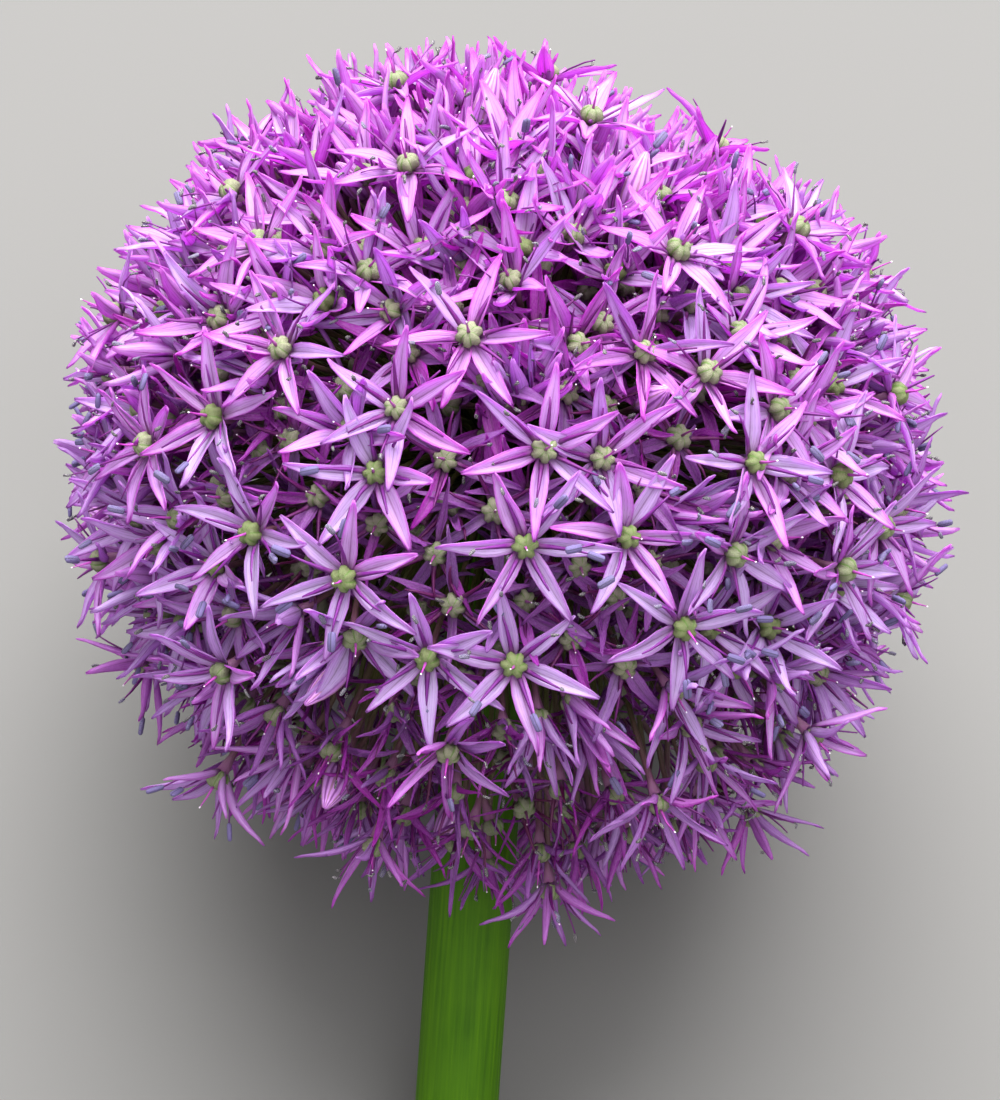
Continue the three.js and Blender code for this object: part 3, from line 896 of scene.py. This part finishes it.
from_stalk = np.arccos(np.clip(direction @ -head_top, -1, 1))
start_angle = SHOULDER_ANGLE + (from_stalk - BARE_ANGLE) / (math.pi - BARE_ANGLE) * (
    math.pi - SHOULDER_ANGLE)
side = direction - head_top * (direction @ head_top)[:, None]
side /= np.linalg.norm(side, axis=1, keepdims=True)
start_way = side * np.sin(start_angle)[:, None] - head_top * np.cos(start_angle)[:, None]
start = head + start_way * (RECEPTACLE_RADIUS - PEDICEL_SUNK)
end = middle - axis * OVARY_FOOT
handle = np.linalg.norm(end - start, axis=1, keepdims=True) / 3
along = np.clip(organs["pedicel"].points[:, 0], 0, 1)[None, :, None]
knots = [p[:, None, :] for p in (start, start + start_way * handle, end - axis * handle, end)]
line = (knots[0] * (1 - along) ** 3 + 3 * knots[1] * along * (1 - along) ** 2
        + 3 * knots[2] * along ** 2 * (1 - along) + knots[3] * along ** 3)
ahead = ((knots[1] - knots[0]) * (1 - along) ** 2 + 2 * (knots[2] - knots[1]) * along * (1 - along)
         + (knots[3] - knots[2]) * along ** 2)
ahead /= np.linalg.norm(ahead, axis=-1, keepdims=True)
first, second = side_axes(ahead)
ring_y = organs["pedicel"].points[:, 1][None, :, None] * PEDICEL_RADIUS
ring_z = organs["pedicel"].points[:, 2][None, :, None] * PEDICEL_RADIUS
keep("pedicel", line + first * ring_y + second * ring_z, np.arange(count))
print(count, "pedicels")

# %% [markdown]
# ## What the tepals and the other organs are made of
#
# Living petal tissue is thin, a little moist and full of coloured sap: satin rather than
# glossy, and it lets a good part of the light through, so a tepal glows where the sun is
# behind it. Its colour comes from the sheet's cell: the column gives the age, and the place
# in the cell says where on the blade we are. One small function adds a node, with its settings
# and links, and another turns a hex colour into the linear numbers that a shader wants.
#
# A cell takes up an eighth of the sheet, and the organ fills all but its margins. So from the
# sheet's foot to its top would be about 120 mm along a tepal, 27 mm along an anther and 40 mm
# across an ovary, and a pattern's scale is that length over the size of one grain.

# %% Helpers for materials
def linear(hex_colour):
    """An sRGB hex colour as linear red, green, blue and alpha."""
    parts = [int(hex_colour[i:i + 2], 16) / 255 for i in (0, 2, 4)]
    return [p / 12.92 if p <= 0.04045 else ((p + 0.055) / 1.055) ** 2.4 for p in parts] + [1.0]


def add(tree, kind, inputs=(), output=0, stops=(), **settings):
    """Adds one node with its settings and links, and hands back one of its outputs.

    The inputs come in order or by name, each as another node's output, a value or a hex
    colour. The stops are those of a colour ramp, and numbers in place of colours make it a
    smooth curve.
    """
    node = tree.nodes.new("ShaderNode" + kind)
    for key, value in settings.items():
        setattr(node, key, value)
    if not isinstance(inputs, dict):
        in_use = [place for place, socket in enumerate(node.inputs) if socket.enabled]
        inputs = dict(zip(in_use, inputs))
    for key, source in inputs.items():
        if isinstance(source, bpy.types.NodeSocket):
            tree.links.new(source, node.inputs[key])
        else:
            node.inputs[key].default_value = linear(source) if isinstance(source, str) else source
    if stops:
        elements = node.color_ramp.elements
        while len(elements) < len(stops):
            elements.new(0.5)
        for element, (place, value) in zip(elements, stops):
            element.position = place
            element.color = linear(value) if isinstance(value, str) else (value, value, value, 1)
        if not isinstance(stops[0][1], str):
            node.color_ramp.interpolation = "EASE"
    if isinstance(output, str):
        return node.outputs[output]
    given = [socket for socket in node.outputs if socket.enabled]
    return given[output] if given else None


def new_material(name):
    """An empty node material."""
    made = bpy.data.materials.new(name)
    made.use_nodes = True
    made.node_tree.nodes.clear()
    return made


def sheet_place(tree):
    """Where a point lies on its organ, and the organ's age and row on the sheet."""
    sheet = add(tree, "UVMap", uv_map=SHEET_MAP)
    cells = add(tree, "VectorMath", [sheet, (SHEET_CELLS, SHEET_CELLS, 0)], operation="MULTIPLY")
    inside = add(tree, "VectorMath", [cells], operation="FRACTION")
    inside = add(tree, "VectorMath", [inside, (CELL_MARGIN, CELL_MARGIN, 0)], operation="SUBTRACT")
    used = 1 - 2 * CELL_MARGIN
    across = add(tree, "SeparateXYZ", [
        add(tree, "VectorMath", [inside, (used, used, 1)], operation="DIVIDE")])
    column_here = add(tree, "SeparateXYZ", [add(tree, "VectorMath", [cells], operation="FLOOR")])
    from_middle = add(tree, "Math", [across, 0.5], operation="SUBTRACT")
    return {
        "across": across,
        "from_middle": from_middle,
        "off_middle": add(tree, "Math", [from_middle], operation="ABSOLUTE"),
        "along": across.node.outputs["Y"],
        "age": add(tree, "Math", [column_here, AGE_STEPS - 1.0], operation="DIVIDE"),
        "row": column_here.node.outputs["Y"],
        "sheet": sheet,
    }


# %% [markdown]
# ### Tepal tissue
#
# Young tepals are a pale whitish lilac with a pinker rim and a darker, dull purple midrib,
# and they turn a deep magenta as they wither. Fine veins run lengthwise, about a third of a
# millimetre apart. The tissue is about a sixth of a millimetre thick and lets through some
# two thirds of the light. That light has crossed all of the sap, so it comes out deeper in
# colour than what the surface throws back, and it is this that makes the shaded tepals
# glow magenta. The moist surface adds a pale shine on top, which shows as whitish edges.

# %% Tepal material
TEPAL_THROUGH = 0.65
SAP = "EA90E6"
VEINS_ACROSS = 8.0  # on a blade 3 mm wide
VEIN_RELIEF = 0.00012  # metres
PATCHES = 60.0  # where the veins show more or less, every 2 mm
GRAIN = 190.0  # cells of the tissue in groups of about 0.6 mm, coarser than life so as to show

tepal_skin = new_material("tepal_tissue")
tree = tepal_skin.node_tree
spot = sheet_place(tree)
body = add(tree, "ValToRGB", [spot["age"]],
           stops=[(0.0, "E5D2F6"), (0.3, "DCBEEF"), (0.6, "BA78CC"), (1.0, "8E369C")])
rim = add(tree, "ValToRGB", [spot["age"]], stops=[(0.0, "C078D2"), (0.5, "A84CBA"), (1.0, "782088")])
rim_share = add(tree, "ValToRGB", [spot["off_middle"]], stops=[(0.34, 0.0), (0.5, 0.65)])
colour = add(tree, "Mix", [rim_share, body, rim], data_type="RGBA")
foot_share = add(tree, "ValToRGB", [spot["along"]], stops=[(0.0, 0.45), (0.25, 0.0)])
colour = add(tree, "Mix", [foot_share, colour, "CFAACC"], data_type="RGBA")
tip_share = add(tree, "ValToRGB", [spot["along"]], stops=[(0.78, 0.0), (1.0, 0.6)])
colour = add(tree, "Mix", [tip_share, colour, rim], data_type="RGBA")
rib = add(tree, "ValToRGB", [spot["age"]], stops=[(0.0, "8E5096"), (1.0, "561A5C")])
rib_share = add(tree, "ValToRGB", [spot["off_middle"]], stops=[(0.0, 0.75), (0.035, 0.4), (0.1, 0.0)])
rib_fade = add(tree, "ValToRGB", [spot["along"]],
               stops=[(0.0, 0.5), (0.25, 0.95), (0.7, 0.7), (1.0, 0.1)])
rib_share = add(tree, "Math", [rib_share, rib_fade], operation="MULTIPLY")
colour = add(tree, "Mix", [rib_share, colour, rib], data_type="RGBA")
wave = add(tree, "Math", [spot["across"], VEINS_ACROSS * 2 * math.pi], operation="MULTIPLY")
wave = add(tree, "Math", [wave], operation="COSINE")
vein_share = add(tree, "ValToRGB", [wave], stops=[(0.2, 0.0), (1.0, 0.36)])
patches = add(tree, "TexNoise", {"Vector": spot["sheet"], "Scale": PATCHES, "Detail": 1.0})
patches = add(tree, "ValToRGB", [patches], stops=[(0.35, 0.25), (0.65, 1.0)])
vein_share = add(tree, "Math", [vein_share, patches], operation="MULTIPLY")
colour = add(tree, "Mix", [vein_share, colour, rib], data_type="RGBA")
grain = add(tree, "TexNoise", {"Vector": spot["sheet"], "Scale": GRAIN, "Detail": 2.0})
blotch = add(tree, "ValToRGB", [grain], stops=[(0.35, 0.0), (0.75, 0.25)])
colour = add(tree, "Mix", [blotch, colour, "EBCFF6"], data_type="RGBA")
# The pinker, more saturated rows stand partly for painted light: they go to the tepals at the lit top
# and in the shaded foot of the head, and the rest at random.
pinker = add(tree, "Math", [spot["row"], TEPAL_TONES - 1.0], operation="DIVIDE")
hue = add(tree, "ValToRGB", [pinker], stops=[(0.0, 0.49), (1.0, 0.54)])
depth = add(tree, "ValToRGB", [pinker], stops=[(0.0, 0.5), (1.0, 0.7)])
depth = add(tree, "Math", [depth, 2.0], operation="MULTIPLY")
toned = add(tree, "HueSaturation", {"Hue": hue, "Saturation": depth, "Value": 1.05, "Color": colour})
deeper = add(tree, "Math", [depth, 1.1], operation="MULTIPLY")
sap_light = add(tree, "HueSaturation", {"Hue": hue, "Saturation": deeper, "Color": colour})
relief = add(tree, "Math", [wave, 0.35, grain], operation="MULTIPLY_ADD")
bump = add(tree, "Bump", {"Height": relief, "Strength": 0.4, "Distance": VEIN_RELIEF})
satin = add(tree, "BsdfPrincipled", {
    "Base Color": toned, "Roughness": 0.45, "Specular IOR Level": 1.0, "IOR": 1.45,
    "Sheen Weight": 0.1, "Sheen Roughness": 0.4, "Normal": bump,
})
sap_light = add(tree, "Mix", [1.0, sap_light, SAP], data_type="RGBA", blend_type="MULTIPLY")
glow = add(tree, "BsdfTranslucent", {"Color": sap_light})
tissue = add(tree, "MixShader", [TEPAL_THROUGH, satin, glow])
add(tree, "OutputMaterial", [tissue])
finishes = {"tepal": tepal_skin}
print("made", tepal_skin.name)

# %% [markdown]
# ### The other organs
#
# The other organs are solid enough to do without light from behind. They share one recipe: a
# living surface, satin, which a fine grain lifts a little, with a colour that each organ looks
# up for itself by its age and by the place on it.

# %% Helper for the other organs
def organ_material(name, colour_of, roughness, grain_scale, grain_height):
    """A living surface whose colour is what colour_of(tree, spot, grain) gives.

    The grain's scale counts its grains over the whole sheet, and its height is in metres.
    """
    made = new_material(name)
    tree = made.node_tree
    spot = sheet_place(tree)
    grain = add(tree, "TexNoise", {"Vector": spot["sheet"], "Scale": grain_scale, "Detail": 2.0})
    bump = add(tree, "Bump", {"Height": grain, "Strength": 0.6, "Distance": grain_height})
    skin = add(tree, "BsdfPrincipled", {
        "Base Color": colour_of(tree, spot, grain), "Roughness": roughness,
        "Specular IOR Level": 0.4, "IOR": 1.4, "Normal": bump,
    })
    add(tree, "OutputMaterial", [skin])
    print("made", name)
    return made


# %% [markdown]
# ### Filaments
#
# A filament is a flat ribbon of coloured sap, the deepest magenta on the head, almost wine red,
# and paler at its very foot. Its grain is the tissue's cells, 0.3 mm along it.

# %% Filament material
def filament_colour(tree, spot, grain):
    """Deep magenta that turns wine red with age, and paler at the very foot."""
    sap = add(tree, "ValToRGB", [spot["age"]],
              stops=[(0.0, "641C70"), (0.5, "5A125A"), (1.0, "460A34")])
    paler = add(tree, "ValToRGB", [spot["along"]], stops=[(0.0, 0.25), (0.3, 0.0)])
    return add(tree, "Mix", [paler, sap, "D9A0D2"], data_type="RGBA")


finishes["filament"] = organ_material("filament_sap", filament_colour, 0.42, 260.0, 0.00005)

# %% [markdown]
# ### Anthers
#
# A fresh anther is a slate grey pouch with a violet cast and a dark groove down its middle. A
# spent one is nearly black, dusted with pale grains of pollen, and the dust makes it the
# dullest thing on the head. The grains are 0.06 mm across.

# %% Anther material
def anther_colour(tree, spot, grain):
    """Slate grey that darkens with age, with a groove, and dusted with pollen once split."""
    wall = add(tree, "ValToRGB", [spot["age"]],
               stops=[(0.0, "615581"), (0.35, "564B74"), (0.6, "3E3A45"), (1.0, "2E2930")])
    groove = add(tree, "ValToRGB", [spot["off_middle"]], stops=[(0.01, 0.85), (0.12, 0.0)])
    wall = add(tree, "Mix", [groove, wall, "2E2A40"], data_type="RGBA")
    dusted = add(tree, "ValToRGB", [grain], stops=[(0.55, 0.0), (0.62, 1.0)])
    split = add(tree, "ValToRGB", [spot["age"]], stops=[(0.2, 0.05), (0.5, 0.85)])
    dusted = add(tree, "Math", [dusted, split], operation="MULTIPLY")
    return add(tree, "Mix", [dusted, wall, "D8D2CC"], data_type="RGBA")


finishes["anther"] = organ_material("anther_wall", anther_colour, 0.6, 420.0, 0.00015)

# %% [markdown]
# ### Ovaries
#
# The ovary is a warty yellowish green that fades to grey olive once it sets seed. Its warts are
# 0.12 mm wide.

# %% Ovary material
def ovary_colour(tree, spot, grain):
    """Warty yellowish green that turns grey with age, with six greener seams."""
    wall = add(tree, "ValToRGB", [spot["age"]],
               stops=[(0.0, "68714A"), (0.14, "767A60"), (0.35, "827F6C"), (1.0, "6C6A5C")])
    warts = add(tree, "ValToRGB", [grain], stops=[(0.35, 0.55), (0.6, 0.0)])
    wall = add(tree, "Mix", [warts, wall, "5E6C38"], data_type="RGBA")
    # The cell is a plan of the ovary from above, so an angle in it finds the six seams.
    ahead = add(tree, "Math", [spot["along"], 0.5], operation="SUBTRACT")
    turn = add(tree, "Math", [ahead, spot["from_middle"]], operation="ARCTAN2")
    turn = add(tree, "Math", [turn, 2.0 * LOBES], operation="MULTIPLY")
    seams = add(tree, "Math", [turn], operation="COSINE")
    seams = add(tree, "ValToRGB", [seams], stops=[(0.8, 0.0), (1.0, 0.85)])
    return add(tree, "Mix", [seams, wall, "4C6A28"], data_type="RGBA")


finishes["ovary"] = organ_material("ovary_wall", ovary_colour, 0.5, 330.0, 0.00035)

# %% [markdown]
# ### Pedicels and styles
#
# The pedicel is olive green and flushed purple under the flower, with long fine streaks. Its
# green is painted darker than a living pedicel's, as painted shade for the dark inside of the
# head where the pedicels stand. The style is a smooth thread of the tepals' magenta with a
# pale, wet stigma at its tip, and so it is the glossiest of the organs.

# %% Pedicel and style materials
def pedicel_colour_and_shade(tree, spot, grain):
    """Dark olive green, darkened as painted shade for the head's dark inside, and flushed purple under
    the flower.
    """
    stem = add(tree, "ValToRGB", [spot["along"]],
               stops=[(0.0, "3E4A16"), (0.7, "42421A"), (0.92, "5C3446"), (1.0, "7C4274")])
    darker = add(tree, "ValToRGB", [grain], stops=[(0.4, 0.3), (0.7, 0.0)])
    return add(tree, "Mix", [darker, stem, "4A4A24"], data_type="RGBA")


def style_colour(tree, spot, grain):
    """Magenta with a whitish stigma, and darker once it has dried."""
    thread = add(tree, "ValToRGB", [spot["along"]],
                 stops=[(0.0, "B453AE"), (0.9, "9C2C92"), (0.95, "E6D2E4"), (1.0, "F0E6EE")])
    dried = add(tree, "ValToRGB", [spot["age"]], stops=[(0.4, 0.0), (1.0, 0.6)])
    return add(tree, "Mix", [dried, thread, "5A2348"], data_type="RGBA")


finishes["pedicel"] = organ_material("pedicel_skin_and_shade", pedicel_colour_and_shade, 0.5, 200.0, 0.0001)
finishes["style"] = organ_material("style_thread", style_colour, 0.3, 200.0, 0.00003)

# %% [markdown]
# ### Buds
#
# A bud shows the undersides of its six tepals: lilac, with a brownish rib down the middle of
# each, and dark where two of them meet. Its grain is the tissue's cells, 0.5 mm along it.

# %% Bud material
def bud_colour(tree, spot, grain):
    """Lilac, with a brownish rib down each of its tepals and dark seams between them."""
    closed = add(tree, "ValToRGB", [spot["along"]],
                 stops=[(0.0, "8A4A86"), (0.3, "C084CC"), (0.8, "CC8CD8"), (1.0, "9A4AA4")])
    turn = add(tree, "Math", [spot["across"], PER_FLORET * 2 * math.pi], operation="MULTIPLY")
    wave = add(tree, "Math", [turn], operation="COSINE")
    ribs = add(tree, "ValToRGB", [wave], stops=[(0.55, 0.0), (0.95, 0.8)])
    closed = add(tree, "Mix", [ribs, closed, "8A6070"], data_type="RGBA")
    hollow = add(tree, "Math", [wave, -1.0], operation="MULTIPLY")
    seams = add(tree, "ValToRGB", [hollow], stops=[(0.5, 0.0), (1.0, 0.8)])
    return add(tree, "Mix", [seams, closed, "6A2470"], data_type="RGBA")


finishes["bud"] = organ_material("bud_tepals", bud_colour, 0.42, 200.0, 0.00008)

# %% [markdown]
# ## Joining the organs into pieces
#
# Each of the frame's florets becomes a piece of its own, in the place of its plain solid. The
# florets between them are joined into clusters, because nine hundred objects would be slow to
# work with. A table as large as this is quickest to hand to Blender as whole arrays.

# %% Helpers that build a piece
FLOOR_SOFTNESS = 1.0 * MM  # points below this height are eased down onto the surface


def above_floor(points):
    """Tepals that reach the surface lie along it instead of passing through."""
    points = points.copy()
    low = points[:, 2] < FLOOR_SOFTNESS
    depth = (points[low, 2] - FLOOR_SOFTNESS) / FLOOR_SOFTNESS
    points[low, 2] = FLOOR_SOFTNESS * np.exp(np.maximum(depth, -8))
    return points


def build_piece(name):
    """One mesh of every organ whose floret belongs to this piece."""
    all_points, all_corners, all_sizes, all_places, all_slots, shown = [], [], [], [], [], []
    start_point = 0
    for kind in ORGAN_KINDS:
        organ = organs[kind]
        for points, owner, column_number, row_number in batches[kind]:
            mine = piece_names[owner] == name
            copies = int(mine.sum())
            if not copies:
                continue
            offsets = start_point + np.arange(copies) * len(organ.points)
            all_points.append(points[mine].reshape(-1, 3))
            all_corners.append((organ.corners[None, :] + offsets[:, None]).ravel())
            all_sizes.append(np.tile(organ.sizes, copies))
            cell = np.stack([column_number[mine], row_number[mine]], -1)[:, None, :]
            all_places.append(((organ.places[None] + cell) / SHEET_CELLS).reshape(-1, 2))
            if kind not in shown:
                shown.append(kind)
            all_slots.append(np.full(copies * len(organ.sizes), shown.index(kind)))
            start_point += copies * len(organ.points)
    points = above_floor(np.concatenate(all_points))
    corners = np.concatenate(all_corners)
    sizes = np.concatenate(all_sizes)
    mesh = bpy.data.meshes.new(name)
    mesh.vertices.add(len(points))
    mesh.vertices.foreach_set("co", points.ravel())
    mesh.loops.add(len(corners))
    mesh.loops.foreach_set("vertex_index", corners)
    mesh.polygons.add(len(sizes))
    mesh.polygons.foreach_set("loop_start", np.concatenate([[0], np.cumsum(sizes)[:-1]]))
    mesh.polygons.foreach_set("material_index", np.concatenate(all_slots))
    mesh.polygons.foreach_set("use_smooth", np.ones(len(sizes), bool))
    layer = mesh.uv_layers.new(name=SHEET_MAP)
    layer.data.foreach_set("uv", np.concatenate(all_places).ravel())
    for kind in shown:
        mesh.materials.append(finishes[kind])
    mesh.update(calc_edges=True)
    mesh.validate()
    piece = bpy.data.objects.new(name + "_bloom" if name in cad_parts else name, mesh)
    bpy.context.scene.collection.objects.link(piece)
    return piece, int((sizes - 2).sum())


# %% Build the floret pieces
triangles = 0
largest = 0
for name in sorted(set(piece_names)):
    piece, made = build_piece(name)
    triangles += made
    largest = max(largest, made)
    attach(piece, "root")
    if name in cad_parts:
        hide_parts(name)
print(triangles, "triangles in all florets, and", largest, "in the largest piece")

# %% [markdown]
# ## The stalk
#
# The stalk is a stout, smooth green stem with the faintest lengthwise ribs. It swells into
# the receptacle inside the head. It is extruded ring by ring from the cut upwards, along its
# own length, and then laid along the tilted axis. The cut face is dished a little, as the
# soft pith shrinks back from the skin as soon as it dries.

# %% Model the stalk
STALK_SIDES = 40
# millimetres from the middle of the head, and the radius there
STALK_RINGS = [
    (-129.4, 6.2), (-129.8, 6.7), (-130.0, 6.9), (-129.8, 7.25), (-129.4, 7.45), (-124, 7.5),
    (-100, 7.5), (-70, 7.5), (-40, 7.5), (-18, 7.6), (-10.5, 8.2), (-8, 9.6), (-5, 10.9),
    (-1.5, 11.9), (2, 11.8), (5.5, 10.7), (8.5, 8.5), (10.6, 5.6), (11.8, 2.2),
]

bpy.ops.object.select_all(action="DESELECT")
bpy.ops.mesh.primitive_circle_add(vertices=STALK_SIDES, radius=1 * MM, fill_type="NGON")
stalk = bpy.context.object
stalk.name = "stalk_with_receptacle"
bpy.ops.object.mode_set(mode="EDIT")
bpy.ops.mesh.select_all(action="SELECT")
last_place, last_radius = 0.0, 1.0
for count_here, (place, radius) in enumerate(STALK_RINGS):
    if count_here:
        bpy.ops.mesh.extrude_region_move()
    bpy.ops.transform.translate(value=(0, 0, (place - last_place) * MM))
    bpy.ops.transform.resize(value=(radius / last_radius, radius / last_radius, 1))
    last_place, last_radius = place, radius
bpy.ops.mesh.select_all(action="SELECT")
bpy.ops.mesh.normals_make_consistent(inside=False)
bpy.ops.object.mode_set(mode="OBJECT")
stalk.data.transform(Matrix.Translation(Vector(head))
                     @ Vector((0, 0, 1)).rotation_difference(Vector(head_top)).to_matrix().to_4x4())
bpy.ops.object.shade_smooth_by_angle(angle=math.radians(40))
print("stalk has", len(stalk.data.polygons), "faces")

# %% [markdown]
# ### Stalk skin and pith
#
# The skin is living green tissue with a thin waxy bloom: satin, a touch paler where the wax
# is thick, with fine paler streaks along its length, 0.6 mm apart. The cut shows paler, wet
# pith with the ends of its fibres as small dots, a millimetre apart. Both materials read their
# coordinates in millimetres, so a scale is one over the size of what it draws.

# %% Stalk materials
STREAK_WIDTH = 0.625  # mm
STREAK_SQUEEZE = 0.03  # which draws a streak out to about 20 mm
BLOOM_PATCH = 12.5
FIBRES_PER_MM = 1.1


def stalk_coordinates(tree):
    """Coordinates in millimetres with Z along the stalk and 0 at the middle of the head."""
    here = add(tree, "TexCoord", output="Object")
    moved = add(tree, "VectorMath", [here, tuple(-head)], operation="ADD")
    level = Vector((0, 0, 1)).rotation_difference(Vector(head_top)).inverted().to_euler()
    return add(tree, "Mapping", {"Vector": moved, "Rotation": level, "Scale": (1000, 1000, 1000)},
               vector_type="POINT")


stalk_skin = new_material("stalk_skin")
tree = stalk_skin.node_tree
here = stalk_coordinates(tree)
drawn_out = add(tree, "VectorMath", [here, (1.0, 1.0, STREAK_SQUEEZE)], operation="MULTIPLY")
streak = add(tree, "TexNoise", {"Vector": drawn_out, "Scale": 1 / STREAK_WIDTH, "Detail": 4.0})
cloud = add(tree, "TexNoise", {"Vector": here, "Scale": 1 / BLOOM_PATCH, "Detail": 3.0})
colour = add(tree, "ValToRGB", [streak], stops=[(0.3, "284A00"), (0.5, "305400"), (0.72, "3B6000")])
bloom = add(tree, "ValToRGB", [cloud], stops=[(0.4, 0.0), (0.7, 0.3)])
colour = add(tree, "Mix", [bloom, colour, "3F6208"], data_type="RGBA")
bump = add(tree, "Bump", {"Height": streak, "Strength": 0.5, "Distance": 0.00025})
skin = add(tree, "BsdfPrincipled", {
    "Base Color": colour, "Roughness": 0.5, "Specular IOR Level": 0.14, "IOR": 1.4, "Normal": bump,
})
add(tree, "OutputMaterial", [skin])

pith = new_material("cut_pith")
tree = pith.node_tree
here = stalk_coordinates(tree)
fibre = add(tree, "TexVoronoi", {"Vector": here, "Scale": FIBRES_PER_MM}, output="Distance")
colour = add(tree, "ValToRGB", [fibre], stops=[(0.05, "8E9C58"), (0.22, "C9D3A0"), (0.7, "DDE3BC")])
bump = add(tree, "Bump", {"Height": fibre, "Strength": 0.4, "Distance": 0.0003})
wet = add(tree, "BsdfPrincipled", {"Base Color": colour, "Roughness": 0.35, "IOR": 1.4, "Normal": bump})
add(tree, "OutputMaterial", [wet])

stalk.data.materials.append(stalk_skin)
stalk.data.materials.append(pith)
CUT_DEPTH = 1.0 * MM
CUT_RADIUS = 7.0 * MM
cut_middle = head - head_top * STALK_LENGTH
for face in stalk.data.polygons:
    from_cut = np.array(face.center) - cut_middle
    if from_cut @ head_top < CUT_DEPTH and np.linalg.norm(from_cut) < CUT_RADIUS:
        face.material_index = 1
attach(stalk, "root")
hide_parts("flower_stalk")

# %% [markdown]
# ## The floor and the light
#
# The photograph was taken in soft daylight from above. Above, for the upright flower, is the
# direction of the head's top, so a wide soft lamp stands far out on that side. A weaker one
# fills in from the camera's side, and a pale sky gives the rest. The floor is plain matt paint.

# %% Floor, lamps and sky
bpy.ops.object.select_all(action="DESELECT")
bpy.ops.mesh.primitive_plane_add(size=60)
floor = bpy.context.object
floor.name = "floor"
floor_paint = new_material("floor_paint")
tree = floor_paint.node_tree
paint = add(tree, "BsdfPrincipled", {"Base Color": "595855", "Roughness": 0.8})
add(tree, "OutputMaterial", [paint])
floor.data.materials.append(floor_paint)


def soft_lamp(name, way, distance, size, power, colour):
    """A round lamp that looks at the head from this way. Lengths are in metres, power in watts."""
    data = bpy.data.lights.new(name, "AREA")
    data.shape = "DISK"
    data.size = size
    data.energy = power
    data.color = linear(colour)[:3]
    lamp = bpy.data.objects.new(name, data)
    way = Vector(way).normalized()
    lamp.location = Vector(head) + way * distance
    lamp.rotation_euler = way.to_track_quat("Z", "Y").to_euler()
    bpy.context.scene.collection.objects.link(lamp)


soft_lamp("daylight", head_top + 0.3 * to_viewer, distance=12.0, size=13.8, power=8000,
          colour="FDFDFF")
soft_lamp("fill", to_viewer + 0.3 * view_right + 0.35 * head_top, distance=2.2, size=1.5,
          power=24, colour="FBFAFF")
sky = bpy.data.worlds.new("sky")
sky.use_nodes = True
background = sky.node_tree.nodes["Background"]
background.inputs["Color"].default_value = linear("F4F4F8")
background.inputs["Strength"].default_value = 1.42
bpy.context.scene.world = sky
print("lit by", [lamp.name for lamp in bpy.data.lights], "and the sky")
